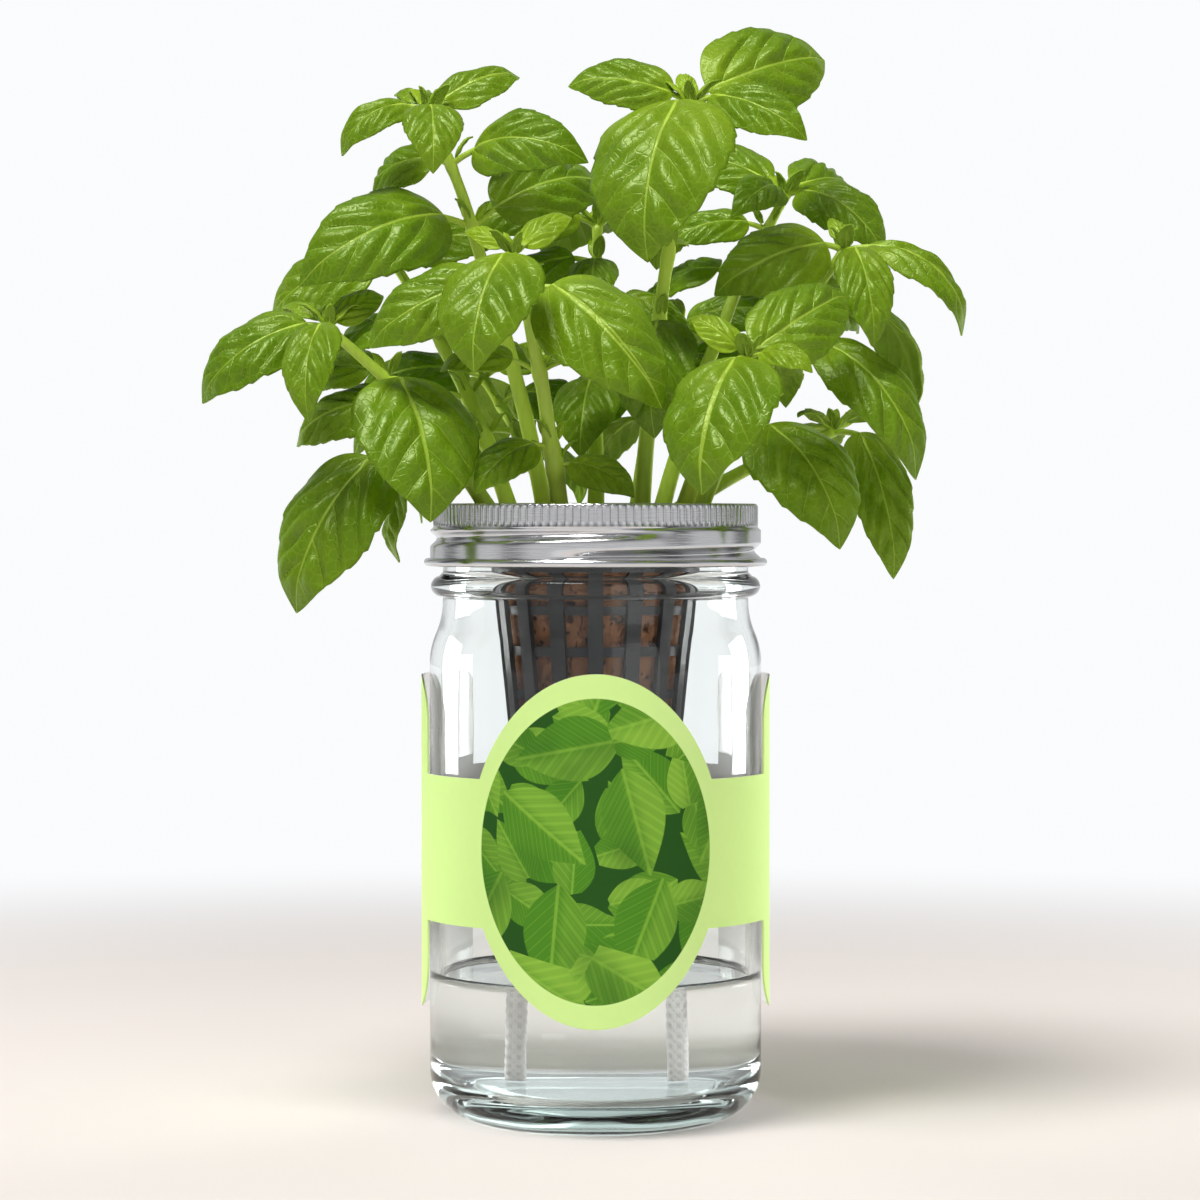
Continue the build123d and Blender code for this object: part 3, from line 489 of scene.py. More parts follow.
def stem_finish(look):
    """Pale green stem, woody at its foot."""
    finish, shader, wiring = new_finish("stem_skin")
    place = wiring.place()
    grain = wiring.grain(150.0)
    height = wiring.split(place)[2]
    level = wiring.scaled(grain["Shade"], 0.02, height)
    woody = wiring.rest(wiring.step(level, 0.163, 0.182))
    stretched = wiring.add("Mapping", {"Vector": place, "Scale": (1.0, 1.0, 0.08)}).outputs[0]
    streak = wiring.noise(stretched, scale=900.0, detail=2.0)
    green = wiring.mix(wiring.times(streak, 0.3), look.stem, look.upper)
    wiring.feed(shader["Base Color"], wiring.mix(wiring.times(woody, 0.8), green, look.foot))
    wiring.roughen(shader, grain["Shade"], 0.2, 0.34)
    wiring.relief(shader, streak, strength=0.35, distance=0.0006)
    return finish


def clear_to_lamps(finish, wiring):
    """Lets lamps and soft light straight through a clear piece, so what stands in it is lit."""
    path = wiring.add("LightPath").outputs
    clear = wiring.math("MAXIMUM", path["Is Shadow Ray"], path["Is Diffuse Ray"])
    nodes = finish.node_tree.nodes
    through = wiring.add("BsdfTransparent")
    blend_surface(wiring, clear, nodes["Principled BSDF"], through, nodes["Material Output"])


def glass_finish(look):
    """Clear glass that turns faintly green where it is thick."""
    finish, shader, wiring = new_finish("jar_glass")
    clear = {"Roughness": 0.0, "IOR": 1.5, "Transmission Weight": 1.0}
    set_plain(shader, {"Base Color": rgba(look.glass), "Specular Tint": rgba(look.mirror), **clear})
    inputs = {"Color": rgba(look.depth_tint), "Density": look.depth_density}
    depth = wiring.add("VolumeAbsorption", inputs)
    output = finish.node_tree.nodes["Material Output"]
    wiring.feed(output.inputs["Volume"], depth.outputs[0])
    wave = wiring.noise(wiring.place(), scale=38.0, detail=1.0)
    wiring.relief(shader, wave, strength=0.12, distance=0.002)
    clear_to_lamps(finish, wiring)
    return finish


def water_finish(look):
    """Still water."""
    finish, shader, wiring = new_finish("still_water")
    clear = {"Roughness": 0.0, "IOR": 1.333, "Transmission Weight": 1.0}
    set_plain(shader, {"Base Color": rgba(look.water), **clear})
    ripple = wiring.noise(wiring.place(), scale=60.0, detail=1.0)
    wiring.relief(shader, ripple, strength=0.03, distance=0.002)
    clear_to_lamps(finish, wiring)
    return finish


def tinplate_finish(look):
    """Bright pressed tinplate with fine rolling lines."""
    finish, shader, wiring = new_finish("tinplate")
    place = wiring.place()
    grain = wiring.grain(90.0)
    ringed = wiring.add("Mapping", {"Vector": place, "Scale": (0.06, 0.06, 1.0)}).outputs[0]
    lines = wiring.noise(ringed, scale=2600.0, detail=3.0, roughness=0.6)
    shade = wiring.mix(grain["Shade"], look.tinplate, [part * 0.86 for part in look.tinplate])
    wiring.feed(shader["Base Color"], shade)
    shader["Metallic"].default_value = 1.0
    wiring.roughen(shader, lines, 0.14, 0.12)
    wiring.relief(shader, lines, strength=0.10, distance=0.0002)
    return finish


def plastic_finish(look):
    """Black moulded plastic with a light satin grain."""
    finish, shader, wiring = new_finish("cup_plastic")
    grain = wiring.grain(260.0)
    lighter = [part * 2.2 for part in look.plastic]
    wiring.feed(shader["Base Color"], wiring.mix(grain["Shade"], look.plastic, lighter))
    wiring.roughen(shader, grain["Shade"], 0.22, 0.34)
    wiring.relief(shader, grain["Height"], strength=0.12, distance=0.0003)
    shader["Specular IOR Level"].default_value = 0.3
    return finish


def cork_finish(look):
    """Pressed cork and coir: granules, short dark fibres, and painted shade in the pits."""
    finish, shader, wiring = new_finish("plug_fibre")
    place = wiring.place()
    grain = wiring.grain(320.0)
    warp = wiring.add("TexNoise", {"Vector": place, "Scale": 160.0, "Detail": 2.0}).outputs["Color"]
    warp_inputs = {0: warp, 1: (0.004, 0.004, 0.004), 2: place}
    bent = wiring.add("VectorMath", warp_inputs, operation="MULTIPLY_ADD").outputs[0]
    cells = wiring.add("TexVoronoi", {"Vector": bent, "Scale": 300.0})
    shade = wiring.split(cells.outputs["Color"])[0]
    lay = {"Vector": bent, "Rotation": (0.5, 0.7, 0.2), "Scale": (1.0, 1.0, 0.16)}
    laid = wiring.add("Mapping", lay).outputs[0]
    fibre = wiring.step(wiring.noise(laid, scale=620.0, detail=2.0), 0.60, 0.68)
    pale = [min(part * 1.7, 1.0) for part in look.cork]
    body = wiring.mix(shade, look.cork, pale)
    body = wiring.mix(wiring.times(fibre, 0.75), body, look.cork_dark_and_pit_shade)
    # Painted shade: the pits are darkened by their depth
    pit = wiring.rest(wiring.step(wiring.attribute("pit"), -0.9, -0.15))
    body = wiring.mix(pit, body, look.cork_dark_and_pit_shade)
    wiring.feed(shader["Base Color"], body)
    wiring.roughen(shader, grain["Shade"], 0.2, 0.75)
    height = wiring.scaled(fibre, -0.6, wiring.plus(grain["Height"], shade))
    wiring.relief(shader, height, strength=0.6, distance=0.0006)
    return finish


def cotton_finish(look):
    """White cotton cord, darker between its strands."""
    finish, shader, wiring = new_finish("wick_cotton")
    grain = wiring.grain(900.0)
    valley = wiring.step(wiring.attribute("strand"), 0.55, 0.0)
    shadow = [part * 0.60 for part in look.cotton]
    body = wiring.mix(wiring.times(valley, 0.8), look.cotton, shadow)
    wiring.feed(shader["Base Color"], wiring.mix(wiring.times(grain["Shade"], 0.2), body, shadow))
    wiring.roughen(shader, grain["Shade"], 0.2, 0.7)
    wiring.relief(shader, grain["Height"], strength=0.5, distance=0.0003)
    return finish


def motif_group():
    """Scattered leaf motif of the print: its mask, its light and dark halves, and its lines."""
    inputs = {"Vector": "NodeSocketVector", "Scale": "NodeSocketFloat", "Turn": "NodeSocketFloat"}
    outputs = {"Mask": "NodeSocketFloat", "Light": "NodeSocketFloat", "Line": "NodeSocketFloat"}
    tree, wiring, entry, leave = new_group("leaf_motif", inputs, outputs)
    cell_inputs = {"Vector": entry.outputs["Vector"], "Scale": entry.outputs["Scale"], "Randomness": 0.75}
    cells = wiring.add("TexVoronoi", cell_inputs, voronoi_dimensions="2D")
    ends = {0: entry.outputs["Vector"], 1: cells.outputs["Position"]}
    away = wiring.add("VectorMath", ends, operation="SUBTRACT")
    unit = wiring.add("VectorMath", {0: away.outputs[0], "Scale": entry.outputs["Scale"]}, operation="SCALE")
    draw = wiring.split(cells.outputs["Color"])
    angle = wiring.scaled(draw[0], FULL_TURN, entry.outputs["Turn"])
    turn_inputs = {"Vector": unit.outputs[0], "Angle": angle}
    turned = wiring.split(wiring.add("VectorRotate", turn_inputs, rotation_type="Z_AXIS").outputs[0])
    along = turned[0]
    across = wiring.math("ABSOLUTE", turned[1])
    square = wiring.times(along, along)
    lean = wiring.scaled(along, -0.22, 0.36)
    half = wiring.times(lean, wiring.rest(wiring.times(square, 2.4)))
    inside = wiring.math("SUBTRACT", half, across)
    wiring.feed(leave.inputs["Mask"], wiring.step(inside, -0.006, 0.012))
    slant = wiring.scaled(across, -1.1, along)
    stripe = wiring.math("FRACT", wiring.times(slant, 6.5))
    ribs = wiring.math("ABSOLUTE", wiring.scaled(stripe, 2.0, -1.0))
    side_lines = wiring.times(wiring.step(ribs, 0.84, 0.98), 0.55)
    rib = wiring.step(across, 0.030, 0.008)
    wiring.feed(leave.inputs["Line"], wiring.math("MAXIMUM", side_lines, rib))
    half_tone = wiring.step(turned[1], -0.10, 0.14)
    puff = wiring.times(wiring.math("SINE", wiring.times(ribs, 1.6)), -0.25)
    light = wiring.plus(wiring.times(half_tone, 0.45), wiring.times(draw[1], 0.55))
    wiring.feed(leave.inputs["Light"], wiring.plus(light, puff))
    return tree


# Scale, turn and shift of each layer of the leafy print
PRINT_LAYERS = ((52.0, 0.4, 0.013), (66.0, 2.1, 0.071), (44.0, 4.4, 0.157))


def card_finish(look, oval):
    """Light green card with a leafy print in its oval and a bare grey inside."""
    finish, shader, wiring = new_finish("sleeve_card")
    texture = wiring.add("TexCoord")
    place = wiring.split(texture.outputs["Object"])
    facing = wiring.split(texture.outputs["Normal"])
    sideways = wiring.times(place[0], facing[0])
    outward = wiring.plus(sideways, wiring.times(place[1], facing[1]))
    outside = wiring.math("GREATER_THAN", outward, 0.005)
    grain = wiring.grain(420.0)
    angle = wiring.math("ARCTAN2", place[0], wiring.times(place[1], -1.0))
    round_way = wiring.times(angle, oval["radius"])
    flat = wiring.add("CombineXYZ", {0: round_way, 1: place[2]}).outputs[0]
    body = look.print_dark
    motif = motif_group()
    for scale, turn, shift in PRINT_LAYERS:
        moved = wiring.add("VectorMath", {0: flat, 1: (shift, shift * 2.0, 0.0)}, operation="ADD").outputs[0]
        leaf = wiring.place_group(motif, {"Vector": moved, "Scale": scale, "Turn": turn})
        blade = wiring.mix(wiring.step(leaf["Light"], 0.0, 1.1), look.print_mid, look.print_light)
        blade = wiring.mix(wiring.times(leaf["Line"], 0.55), blade, look.print_light)
        body = wiring.mix(leaf["Mask"], body, blade)
    deep = wiring.noise(flat, scale=38.0, detail=2.0)
    body = wiring.mix(wiring.step(deep, 0.42, 0.72), body, wiring.mix(0.55, body, look.print_dark))
    across = wiring.math("DIVIDE", place[0], oval["half_width"])
    up = wiring.math("DIVIDE", wiring.math("SUBTRACT", place[2], oval["centre_z"]), oval["half_height"])
    ring = wiring.square_sum(across, up)
    front = wiring.math("LESS_THAN", place[1], 0.0)
    printed = wiring.times(wiring.step(ring, 1.006, 0.994), front)
    face = wiring.mix(wiring.times(grain["Shade"], 0.06), look.card, look.print_light)
    face = wiring.mix(printed, face, body)
    wiring.feed(shader["Base Color"], wiring.mix(outside, look.inside, face))
    wiring.roughen(shader, grain["Shade"], 0.15, 0.55)
    wiring.relief(shader, grain["Height"], strength=0.08, distance=0.0003)
    shader["Specular IOR Level"].default_value = 0.2
    return finish


class Section:
    """Half section of a turned piece, drawn point by point in the XZ plane and then spun."""

    def __init__(self, radius, height):
        self.bm = bmesh.new()
        self.pen = bmesh.ops.create_vert(self.bm, co=(radius, 0.0, height))["vert"][0]

    def line(self, radius, height, parts=1):
        """Straight run to a point, in equal parts."""
        start = self.pen.co.copy()
        goal = Vector((radius, 0.0, height))
        for part in range(1, parts + 1):
            self.pen = bmesh.ops.extrude_vert_indiv(self.bm, verts=[self.pen])["verts"][0]
            self.pen.co = start.lerp(goal, part / parts)
        return self

    def arc(self, radius, height, angle, parts=10):
        """Arc about a centre, positive angles turning from outward to upward."""
        made = bmesh.ops.spin(
            self.bm,
            geom=[self.pen],
            cent=(radius, 0.0, height),
            axis=(0.0, -1.0, 0.0),
            angle=radians(angle),
            steps=parts,
            use_merge=False,
        )
        self.pen = next(item for item in made["geom_last"] if isinstance(item, bmesh.types.BMVert))
        return self

    def spun(self, steps):
        """Full turn of the section about Z, closed, with faces outwards."""
        geometry = list(self.bm.verts) + list(self.bm.edges)
        bmesh.ops.spin(
            self.bm,
            geom=geometry,
            cent=(0.0, 0.0, 0.0),
            axis=(0.0, 0.0, 1.0),
            angle=FULL_TURN,
            steps=steps,
            use_merge=True,
        )
        bmesh.ops.remove_doubles(self.bm, verts=self.bm.verts, dist=WELD)
        bmesh.ops.recalc_face_normals(self.bm, faces=self.bm.faces)
        return self.bm


def smooth_share(value, low, high):
    """Smooth step of a value from 0 at low to 1 at high."""
    share = min(max((value - low) / (high - low), 0.0), 1.0)
    return share * share * (3.0 - 2.0 * share)


def finish_piece(name, bm, body, finishes, nodes):
    """Object from a mesh drawn in millimetres, with its finishes, body and the solids it stands for."""
    bmesh.ops.scale(bm, vec=(MM, MM, MM), verts=bm.verts)
    mesh = bpy.data.meshes.new(name)
    bm.to_mesh(mesh)
    bm.free()
    for finish in finishes:
        mesh.materials.append(finish)
    mesh.shade_smooth()
    piece = bpy.data.objects.new(name, mesh)
    bpy.context.scene.collection.objects.link(piece)
    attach(piece, body)
    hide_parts(*nodes)
    return piece


def tube_frames(points):
    """Each point of a line with two directions square to it, turned along without twist."""
    frames = []
    last = len(points) - 1
    normal = None
    for index, point in enumerate(points):
        ahead = (points[min(index + 1, last)] - points[max(index - 1, 0)]).normalized()
        normal = normal or ahead.orthogonal()
        normal = (normal - ahead * normal.dot(ahead)).normalized()
        frames.append((point, normal, normal.cross(ahead)))
    return frames


def tube_sheet(bm, points, radii, sides):
    """Sheet rolled into a tube, one ring at each point: its verts with ring, angle and outward way."""
    last = len(points) - 1
    frames = tube_frames(points)
    placed = []
    for vert in bmesh.ops.create_grid(bm, x_segments=last, y_segments=sides, size=1.0)["verts"]:
        ring = round((vert.co.x + 1.0) * last / 2.0)
        angle = (vert.co.y + 1.0) * pi
        point, normal, side = frames[ring]
        out = normal * cos(angle) + side * sin(angle)
        vert.co = point + out * radii[ring]
        placed.append((vert, ring, angle, out))
    return placed


def close_tube(bm, placed):
    """Joins the seam of a rolled sheet and caps its ends."""
    verts = [row[0] for row in placed]
    bmesh.ops.remove_doubles(bm, verts=verts, dist=WELD)
    rims = {edge for vert in verts if vert.is_valid for edge in vert.link_edges if edge.is_boundary}
    bmesh.ops.holes_fill(bm, edges=list(rims), sides=0)


def heading_vector(heading, pitch):
    """Unit vector at a compass heading and a pitch, in degrees."""
    flat = cos(radians(pitch))
    return Vector((flat * cos(radians(heading)), flat * sin(radians(heading)), sin(radians(pitch))))


STEM_FOOT_R = 2.5
STEM_TOP_R = 1.3
STEM_BOW_SIDE = 0.35
STEM_BOW_UP = 0.55
STEM_RINGS = 48
STEM_SIDES = 20
STEM_SWAY = 0.8
STEM_SWAY_SCALE = 0.05
STEM_SWAY_SHIFT = Vector((9.0, 0.0, 0.0))
STEM_JOINT_HALF = 2.4
STEM_JOINT_SWELL = 0.22
STEM_FLARE_REACH = 2.5
STEM_FLARE = 0.18
STEM_SINK = 1.5
STEM_END_RISE = 0.9
STEM_END_SHARE = 0.45
STEM_CORNERS = 4.0
STEM_CORNER_SHARE = 0.045
PETIOLE_RISE = 35.0
PETIOLE_FOLLOW = 0.5
PETIOLE_RADII = (0.95, 0.85)
PETIOLE_FULL_LENGTH = 26.0
PETIOLE_SIDES = 8
RIB_SHARES = (0.02, 0.10, 0.22, 0.36)
RIB_RADIUS = 0.78
RIB_TAPER = 1.6
RIB_DROP = 0.55
RIB_DROP_SHARE = 0.012
LEAF_SHOULDER = (0.0, 0.74)
LEAF_CHEEK = (0.70, 0.70)
LEAF_PEAK = 0.5401
LEAF_CUP = 0.14
LEAF_LUMP = 0.030
LEAF_WAVES = 2.2
LEAF_SIDE_LAG = 1.7
VEIN_COUNT = 4.2
VEIN_LEAN = 0.28
VEIN_CURVE = 0.32
PUCKER_ROUND = 0.75
PUCKER_LEVEL = 0.45
PUCKER_LEAST = 0.35
GROOVE_HALF = 0.07
LEAF_TEETH = 10.0
TOOTH_PEAK = 0.8
TOOTH_EDGE_POWER = 8
TOOTHED_LENGTHS = (12.0, 32.0)
LUMPS_ALONG = 5.5
LUMPS_ACROSS = 2.6
LUMPS_SHIFT = 9.0

# Where teeth, veins, puckers and the curl come and go, as shares of a leaf
TOOTH_START = (0.28, 0.5)
TOOTH_END = (0.86, 0.96)
VEIN_START = (-0.12, 0.02)
VEIN_END = (0.84, 0.97)
VEIN_EDGE = (0.72, 1.0)
VEIN_EDGE_LOSS = 0.8
PUCKER_SIDE = (0.02, 0.20)
PUCKER_EDGE = (0.62, 1.0)
PUCKER_EDGE_LOSS = 0.75
LEAF_FOOT = (0.0, 0.10)
PUCKER_END = (0.74, 1.0)
PUCKER_END_LOSS = 0.85
CURL_START = (0.78, 1.0)

# Yellower colour of short leaves and buds
YOUNG_LENGTH = 26.0
YOUNG_SPAN = 16.0
TONE_BASE = 0.12
TONE_YOUNG = 0.55
TONE_SPREAD = 0.22
BUD_TONE = 0.95
BUD_ROWS = 20
BUD_COLUMNS = 10


def stem_point(shoot, share):
    """Point on a stem's bowed centre line."""
    foot = Vector((*shoot.foot, PLUG_TOP_Z))
    tip = Vector(shoot.tip)
    run = tip - foot
    bow = foot + Vector((run.x * STEM_BOW_SIDE, run.y * STEM_BOW_SIDE, run.z * STEM_BOW_UP))
    rest = 1.0 - share
    return foot * (rest * rest) + bow * (2.0 * share * rest) + tip * (share * share)


def leaf_place(shoot, leaf):
    """Where a leaf joins its stem, the way its stalk leaves, and the matrix of its blade."""
    joint = stem_point(shoot, leaf.at)
    stalk = heading_vector(leaf.heading, PETIOLE_RISE + PETIOLE_FOLLOW * leaf.pitch)
    base = joint + stalk * leaf.stalk
    chord = heading_vector(leaf.heading, leaf.pitch)
    face_up = heading_vector(leaf.heading, leaf.pitch + 90.0)
    side = face_up.cross(chord)
    turn = Matrix((chord, side, face_up)).transposed().to_4x4()
    return joint, stalk, Matrix.Translation(base) @ turn @ Matrix.Rotation(radians(leaf.roll), 4, "X")


def arc_radius(half_chord, height):
    """Radius of the arc that rises by a height over a chord."""
    return (half_chord**2 + height**2) / (2.0 * height)


# Where in the noise a leaf's quirks are drawn, and how far they go
QUIRK_LEAF_STEP = 7.31
QUIRK_DRAW_STEP = 3.17
QUIRK_LINE = (2.7, 9.1)
BEND_MOST = 0.045
TWIST_MOST = 0.15
VEIN_SHIFT_MOST = 0.25
RIGHT_VEIN_LAG = 0.5


class Quirks:
    """Small differences of one leaf, drawn from its number."""

    def __init__(self, number):
        spots = [number * QUIRK_LEAF_STEP + step * QUIRK_DRAW_STEP for step in range(6)]
        draw = [noise.noise(Vector((spot, *QUIRK_LINE))) for spot in spots]
        self.bend = BEND_MOST * draw[0]
        self.twist = TWIST_MOST * draw[1]
        self.wave = pi * draw[2]
        self.left = VEIN_SHIFT_MOST * draw[3]
        self.right = RIGHT_VEIN_LAG + VEIN_SHIFT_MOST * draw[4]
        self.tone = draw[5]


def blade_point(leaf, share, across, look, quirks):
    """Point of a blade in its own frame, with its vein phase, vein strength, side share and place along."""
    rest = 1.0 - share
    low = 3.0 * share * rest * rest
    high = 3.0 * share * share * rest
    along = low * LEAF_SHOULDER[0] + high * LEAF_CHEEK[0] + share**3
    width = (low * LEAF_SHOULDER[1] + high * LEAF_CHEEK[1]) / LEAF_PEAK
    half = leaf.wide * leaf.length / 2.0
    saw = share * LEAF_TEETH + quirks.wave
    saw -= floor(saw)
    grown = smooth_share(leaf.length, *TOOTHED_LENGTHS) * smooth_share(share, *TOOTH_START)
    grown *= 1.0 - smooth_share(share, *TOOTH_END)
    notch = (saw - TOOTH_PEAK) * look.tooth * grown * abs(across) ** TOOTH_EDGE_POWER
    y = across * half * width * (1.0 + notch)
    x = along * leaf.length
    side = abs(y) / half
    arch = leaf.droop * leaf.length
    arch_r = arc_radius(leaf.length / 2.0, arch)
    cup_r = arc_radius(half, LEAF_CUP * leaf.wide * leaf.length)
    rho = arch_r - cup_r + sqrt(max(cup_r**2 - y * y, 0.0))
    reach = x - leaf.length / 2.0
    z = arch - arch_r + sqrt(max(rho * rho - reach * reach, 0.0))
    offset = quirks.left if across < 0 else quirks.right
    start = along - VEIN_LEAN * side - VEIN_CURVE * side * side
    phase = VEIN_COUNT * start + offset
    strength = smooth_share(start, *VEIN_START) * (1.0 - smooth_share(along, *VEIN_END))
    strength *= 1.0 - VEIN_EDGE_LOSS * smooth_share(abs(across), *VEIN_EDGE)
    bulge = abs(sin(pi * phase)) ** PUCKER_ROUND - PUCKER_LEVEL
    foot = smooth_share(along, *LEAF_FOOT)
    room = smooth_share(side, *PUCKER_SIDE)
    room *= 1.0 - PUCKER_EDGE_LOSS * smooth_share(abs(across), *PUCKER_EDGE)
    room *= foot * (1.0 - PUCKER_END_LOSS * smooth_share(along, *PUCKER_END))
    lump_spot = (along * LUMPS_ALONG + quirks.wave, y / half * LUMPS_ACROSS, quirks.tone * LUMPS_SHIFT)
    lump = noise.noise(Vector(lump_spot))
    swell = look.pucker * bulge * (PUCKER_LEAST + (1.0 - PUCKER_LEAST) * strength)
    z += leaf.length * room * (swell + LEAF_LUMP * lump)
    z -= leaf.length * look.groove * exp(-((side / GROOVE_HALF) ** 2)) * (1.0 - along) * foot
    wave = sin(FULL_TURN * LEAF_WAVES * along + quirks.wave + (LEAF_SIDE_LAG if across > 0 else 0.0))
    z += leaf.length * look.ruffle * wave * across * across * width
    z -= leaf.length * look.curl * smooth_share(along, *CURL_START) ** 2
    z += y * quirks.twist * (along - 0.5)
    y += quirks.bend * leaf.length * 4.0 * along * (1.0 - along)
    return Vector((x, y, z)), phase, strength, y / half, along


def draw_blade(bm, layers, leaf, place, look, quirks, tone, rows, columns):
    """Blade of one leaf as a shaped grid."""
    made = bmesh.ops.create_grid(bm, x_segments=rows, y_segments=columns, size=1.0)["verts"]
    for vert in made:
        share = (vert.co.x + 1.0) / 2.0
        across = vert.co.y
        point, phase, strength, side, along = blade_point(leaf, share, across, look, quirks)
        vert.co = place @ point
        vert[layers["vein_phase"]] = phase
        vert[layers["vein_strength"]] = strength
        vert[layers["vein_side"]] = side if abs(across) > 0.001 else 0.0
        vert[layers["vein_along"]] = along
        vert[layers["tone"]] = tone
    ends = [vert for vert in made if vert[layers["vein_along"]] in (0.0, 1.0)]
    bmesh.ops.remove_doubles(bm, verts=ends, dist=WELD)


def stem_thickness(share):
    """Radius of a stem at a share of its length."""
    return STEM_FOOT_R + (STEM_TOP_R - STEM_FOOT_R) * share


def draw_stalk(bm, shoot, leaf):
    """Stalk from inside the stem to the blade, running on as the rib below it."""
    joint, way, place = leaf_place(shoot, leaf)
    arch = leaf.droop * leaf.length
    arch_r = arc_radius(leaf.length / 2.0, arch)
    points = [joint, joint + way * (leaf.stalk * 0.5)]
    radii = list(PETIOLE_RADII)
    for share in RIB_SHARES:
        reach = leaf.length * (share - 0.5)
        rise = arch - arch_r + sqrt(arch_r**2 - reach * reach)
        rise -= RIB_DROP + leaf.length * RIB_DROP_SHARE
        points.append(place @ Vector((leaf.length * share, 0.0, rise)))
        radii.append(RIB_RADIUS * (1.0 - share * RIB_TAPER))
    scale = min(1.0, leaf.length / PETIOLE_FULL_LENGTH)
    route = smooth_route(points, 4)
    widths = smooth_route([Vector((radius * scale, 0.0, 0.0)) for radius in radii], 4)
    close_tube(bm, tube_sheet(bm, route, [width.x for width in widths], PETIOLE_SIDES))


def smooth_route(points, parts):
    """Points of a smooth curve through a few given ones."""
    route = []
    last = len(points) - 1
    for index in range(last):
        before = points[max(index - 1, 0)]
        start = points[index]
        end = points[index + 1]
        after = points[min(index + 2, last)]
        for part in range(parts):
            share = part / parts
            pull_in = (end - before) * 0.5
            pull_out = (after - start) * 0.5
            s2 = share * share
            s3 = s2 * share
            route.append(
                start * (2 * s3 - 3 * s2 + 1) + pull_in * (s3 - 2 * s2 + share)
                + end * (3 * s2 - 2 * s3) + pull_out * (s3 - s2)
            )
    route.append(points[last])
    return route


# Heading, pitch and length of the young leaves at a tip, and of the pair in a leaf corner
TIP_BUDS = ((45.0, 62.0, 6.5), (225.0, 62.0, 6.5), (135.0, 40.0, 9.5), (315.0, 40.0, 9.5))
TIP_BUD_TURN = 29.0
CORNER_BUD_SIDES = (18.0, 198.0)
CORNER_BUD_PITCH = 52.0
CORNER_BUD_LENGTH = 7.5
STEM_TIP_FROM = 0.95


def bud_leaves(shoot, number):
    """Small young leaves at the tip of a shoot and in its leaf corners."""
    buds = []
    for heading, pitch, length in TIP_BUDS:
        turn = heading + TIP_BUD_TURN * number
        buds.append(Leaf(1.0, turn, pitch, length, roll=0.0, wide=0.5, droop=0.12, stalk=1.2))
    for at in sorted({leaf.at for leaf in shoot.leaves if leaf.at < STEM_TIP_FROM}):
        first = next(leaf for leaf in shoot.leaves if leaf.at == at)
        for side in CORNER_BUD_SIDES:
            turn = first.heading + side
            size = {"length": CORNER_BUD_LENGTH, "wide": 0.48, "droop": 0.12, "stalk": 2.4}
            buds.append(Leaf(at, turn, CORNER_BUD_PITCH, roll=0.0, **size))
    return buds


def leaf_tone(leaf, quirks):
    """How yellow a leaf is, from its length and its own quirk."""
    young = smooth_share(YOUNG_LENGTH - leaf.length, 0.0, YOUNG_SPAN)
    return min(max(TONE_BASE + TONE_YOUNG * young + TONE_SPREAD * quirks.tone, 0.0), 1.0)


def cad_names(prefix):
    """CAD node names of each shoot."""
    return [f"{prefix}_{number:02d}" for number in range(1, len(SHOOTS) + 1)]


class PLANTER_OT_leaves(Operator):
    """Leaves of every shoot: veined, puckered blades with toothed edges, on their stalks"""

    bl_idname = "planter.leaves"
    bl_label = "Leaves"

    def execute(self, context):
        look = context.scene.planter_plant
        finishes = [leaf_finish(look), under_finish(look)]
        count = 0
        for number, (shoot, node) in enumerate(zip(SHOOTS, cad_names("basil_leaves"))):
            bm = bmesh.new()
            names = ("vein_phase", "vein_strength", "vein_side", "vein_along", "tone")
            layers = {name: bm.verts.layers.float.new(name) for name in names}
            buds = bud_leaves(shoot, number)
            for leaf in (*shoot.leaves, *buds):
                count += 1
                quirks = Quirks(count)
                bud = leaf in buds
                tone = BUD_TONE if bud else leaf_tone(leaf, quirks)
                size = (BUD_ROWS, BUD_COLUMNS) if bud else (look.rows, look.columns)
                _, _, place = leaf_place(shoot, leaf)
                draw_blade(bm, layers, leaf, place, look, quirks, tone, *size)
            piece = finish_piece(f"leaves_{number + 1:02d}", bm, "plant", finishes, [node])
            body = piece.modifiers.new("leaf_body", "SOLIDIFY")
            body.thickness = look.thick
            body.offset = -1.0
            body.material_offset = 1
            body.material_offset_rim = 1
        return {"FINISHED"}


